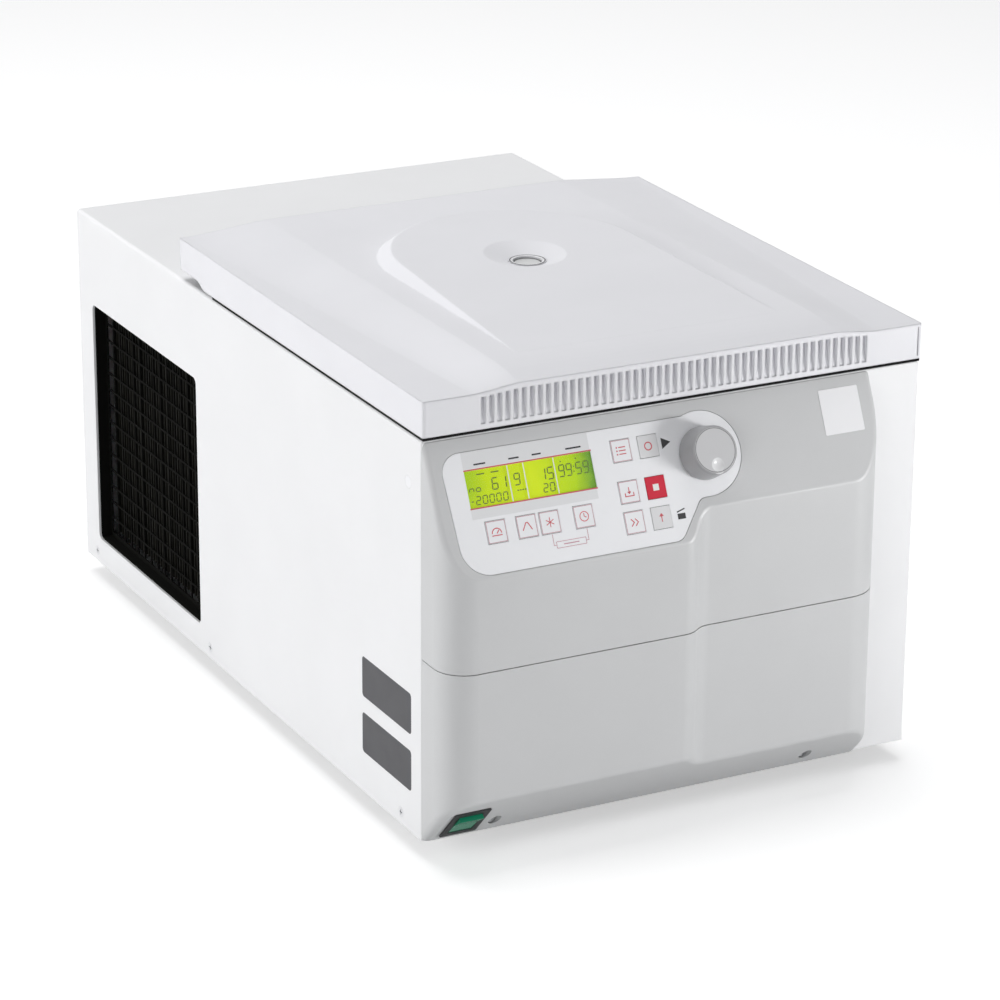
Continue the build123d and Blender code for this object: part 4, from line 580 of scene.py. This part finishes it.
for n, (kx, ks, kind) in enumerate(KEYS, start=1):
    body = f"key_{n:02d}"
    if n not in COLOURED_KEYS:
        bm = bmesh.new()
        band(bm, rounded(kx, ks, 14.5, 15.0, 0.5), rounded(kx, ks, 13.7, 14.2, 0.4), panel,
             KEY_TOP, KEY_TOP + PRINT)
        mesh_piece(f"key_outline_{n:02d}", bm, ink_line, body)
    printed(f"key_mark_{n:02d}", icon(kind, kx, ks),
            ink_white if COLOURED_KEYS.get(n) is key_red else ink_red, body,
            KEY_TOP, KEY_TOP + PRINT)

# ---------------------------------------------------------------- marks on the foil
start_mark = [[(-19.4, 24.3), (-12.2, 28.0), (-19.4, 32.2)]]
open_mark = [rect(-14.4, 80.6, 6.2, 4.0), stroke(-17.6, 77.4, -11.2, 75.6, 0.9)]
printed("foil_symbols", start_mark + open_mark, ink_black, "base", FOIL_TOP, FOIL_TOP + PRINT)

# bracket that joins the third and the fourth key
BRACKET_X, BRACKET_S, BRACKET_TOP, BRACKET_LINE = -102.4, 85.3, 77.4, 0.4
bm = bmesh.new()
band(bm, rounded(BRACKET_X, BRACKET_S, 23.3, 4.8, 0.5),
     rounded(BRACKET_X, BRACKET_S, 22.5, 4.0, 0.3), panel, FOIL_TOP, FOIL_TOP + PRINT)
for outline in (box(-116.1, BRACKET_TOP, -115.7, 85.5),
                rect(-114.9, BRACKET_S, 2.0, BRACKET_LINE),
                rect(-89.9, BRACKET_S, 2.0, BRACKET_LINE),
                box(-89.1, BRACKET_TOP, -88.7, 85.5),
                rect(BRACKET_X, BRACKET_S, 12.0, 0.7)):
    prism(bm, outline, panel, FOIL_TOP, FOIL_TOP + PRINT)
mesh_piece("foil_bracket", bm, ink_line, "base")

# plain dashes above the columns of the display
captions = [rect(x, s, width, 1.1) for x, s, width in
            ((-160.2, 21.4, 9.0), (-134.0, 21.3, 8.0), (-116.4, 21.2, 7.0), (-87.8, 21.1, 12.0))]
printed("foil_captions", captions, ink_black, "base", FOIL_TOP + PRINT, FOIL_TOP + 1.6 * PRINT)

# blank sticker at the upper right of the front cover
printed("blank_badge", [rounded(128.2, 26.2, 32.3, 32.7, 1.0)], sticker, "base", 0.06, 0.34)

# ---------------------------------------------------------------- black strip under the lid's edge: painted shade in the gap between lid and deck
SHADE_STRIP_OUT, SHADE_STRIP_IN, SHADE_STRIP_BACK = 0.1992, 0.1945, 0.060
SHADE_STRIP_FRONT = (FRONT - 0.0014, FRONT + 0.0045)
SHADE_STRIP_SIDE = FRONT + 0.0047
SHADE_STRIP_LOW, SHADE_STRIP_HIGH = DECK + 0.0002, DECK + 0.00255


def level(x, y, z):
    return Vector((x, y, z))


bm = bmesh.new()
for outline in (box(-SHADE_STRIP_OUT, SHADE_STRIP_FRONT[0], SHADE_STRIP_OUT, SHADE_STRIP_FRONT[1]),
                box(-SHADE_STRIP_OUT, SHADE_STRIP_SIDE, -SHADE_STRIP_IN, SHADE_STRIP_BACK),
                box(SHADE_STRIP_IN, SHADE_STRIP_SIDE, SHADE_STRIP_OUT, SHADE_STRIP_BACK)):
    prism(bm, outline, level, SHADE_STRIP_LOW, SHADE_STRIP_HIGH)
mesh_piece("lid_gap_shade_strip", bm, gap_shade_black, "lid")

# ---------------------------------------------------------------- dark lines of port and knob: painted shade round the bezel, round the glass and round the knob face
PORT_Y, PORT_Z = FRONT + 0.228, DECK + 0.0403


def port(x, y, lift):
    """Point round the middle of the sight port, in mm."""
    return Vector((x / MM, PORT_Y + y / MM, PORT_Z + lift / MM))


bm = bmesh.new()
for outer, inner, low, high in ((13.6, 12.7, 0.02, 0.08), (10.9, 9.6, -1.75, -1.6)):
    band(bm, circle(0, 0, outer), circle(0, 0, inner), port, low, high)
mesh_piece("port_painted_shade_rings", bm, edge_shade_ink, "lid")

bm = bmesh.new()
band(bm, circle(KNOB_X, KNOB_S, 15.7), circle(KNOB_X, KNOB_S, 15.3), panel, 19.01, 19.05)
mesh_piece("knob_rim_painted_shade", bm, edge_shade_ink, "knob")

# ---------------------------------------------------------------- floor and world
FLOOR_HALF = 6.0                # half the side of the floor, metres
FLOOR_GREY, FLOOR_GLOW = 0.86, 0.45
FILL_COLOR, FILL_STRENGTH = (0.97, 0.98, 1.0, 1), 0.265
WHITE = (1, 1, 1, 1)


def floor_material():
    """Grey diffuse floor that glows for the camera alone, so that it melts into the background."""
    m = bpy.data.materials.new("studio_floor")
    m.use_nodes = True
    t = m.node_tree
    t.nodes.clear()
    out = t.nodes.new("ShaderNodeOutputMaterial")
    diffuse = t.nodes.new("ShaderNodeBsdfDiffuse")
    diffuse.inputs["Color"].default_value = (*grey(FLOOR_GREY), 1)
    glow = t.nodes.new("ShaderNodeEmission")
    glow.inputs["Color"].default_value = WHITE
    path = t.nodes.new("ShaderNodeLightPath")
    add = t.nodes.new("ShaderNodeAddShader")
    t.links.new(combine(t, "MULTIPLY", path.outputs["Is Camera Ray"], FLOOR_GLOW),
                glow.inputs["Strength"])
    t.links.new(diffuse.outputs["BSDF"], add.inputs[0])
    t.links.new(glow.outputs["Emission"], add.inputs[1])
    t.links.new(add.outputs["Shader"], out.inputs["Surface"])
    return m


def background(t, color, strength):
    back = t.nodes.new("ShaderNodeBackground")
    back.inputs["Color"].default_value = color
    back.inputs["Strength"].default_value = strength
    return back.outputs["Background"]


def studio_world():
    """Soft fill from all round; the camera, mirrors and clear pieces see plain white."""
    world = bpy.data.worlds.new("studio")
    world.use_nodes = True
    t = world.node_tree
    t.nodes.clear()
    out = t.nodes.new("ShaderNodeOutputWorld")
    path = t.nodes.new("ShaderNodeLightPath")
    mix = t.nodes.new("ShaderNodeMixShader")
    seen = combine(t, "MAXIMUM", path.outputs["Is Camera Ray"], path.outputs["Is Glossy Ray"])
    seen = combine(t, "MAXIMUM", seen, path.outputs["Is Transmission Ray"])
    t.links.new(seen, mix.inputs["Fac"])
    t.links.new(background(t, FILL_COLOR, FILL_STRENGTH), mix.inputs[1])
    t.links.new(background(t, WHITE, 1.0), mix.inputs[2])
    t.links.new(mix.outputs["Shader"], out.inputs["Surface"])
    return world


bm = bmesh.new()
bmesh.ops.create_grid(bm, x_segments=1, y_segments=1, size=FLOOR_HALF)
floor_mesh = bpy.data.meshes.new("studio_floor")
bm.to_mesh(floor_mesh)
bm.free()
floor_mesh.materials.append(floor_material())
floor = bpy.data.objects.new("studio_floor", floor_mesh)
scene.collection.objects.link(floor)
scene.world = studio_world()


# ---------------------------------------------------------------- lamps
def area_light(name, place, target, size, power):
    """Rectangular lamp at a place in metres, aimed at the target; power in watts."""
    data = bpy.data.lights.new(name, "AREA")
    data.shape = "RECTANGLE"
    data.size, data.size_y = size
    data.energy = power
    ob = bpy.data.objects.new(name, data)
    ob.location = place
    ob.rotation_euler = (Vector(target) - Vector(place)).to_track_quat("-Z", "Y").to_euler()
    scene.collection.objects.link(ob)


area_light("left_softbox", (-3.0, 0.9, 0.9), (0, 0.1, 0.18), (2.2, 1.4), 47.5)
area_light("left_front_softbox", (-2.4, -2.2, 0.7), (0, -0.2, 0.18), (1.2, 1.0), 13.5)
area_light("top_softbox", (0.0, 0.5, 3.2), (0, 0, 0.3), (2.4, 2.0), 50.0)
area_light("right_table_lamp", (1.1, -1.4, 0.12), (0.1, -0.3, 0.16), (0.6, 0.2), 11.8)

# ---------------------------------------------------------------- camera, fitted to the photo
AZIMUTH, ELEVATION, ROLL = radians(-27.32), radians(20.22), radians(0.37)
DISTANCE = 3.060
AIM = Vector((0.0155, 0.001, 0.1366))

lens = bpy.data.cameras.new("camera")
lens.lens = 141.2
lens.sensor_width = 36.0
lens.clip_end = 50.0
camera = bpy.data.objects.new("camera", lens)
back = Vector((sin(AZIMUTH) * cos(ELEVATION), -cos(AZIMUTH) * cos(ELEVATION), sin(ELEVATION)))
camera.location = AIM + back * DISTANCE
level_view = (-back).to_track_quat("-Z", "Y")
camera.rotation_euler = (level_view @ Quaternion((0, 0, 1), ROLL)).to_euler()
scene.collection.objects.link(camera)
scene.camera = camera
scene.view_settings.view_transform = "Standard"
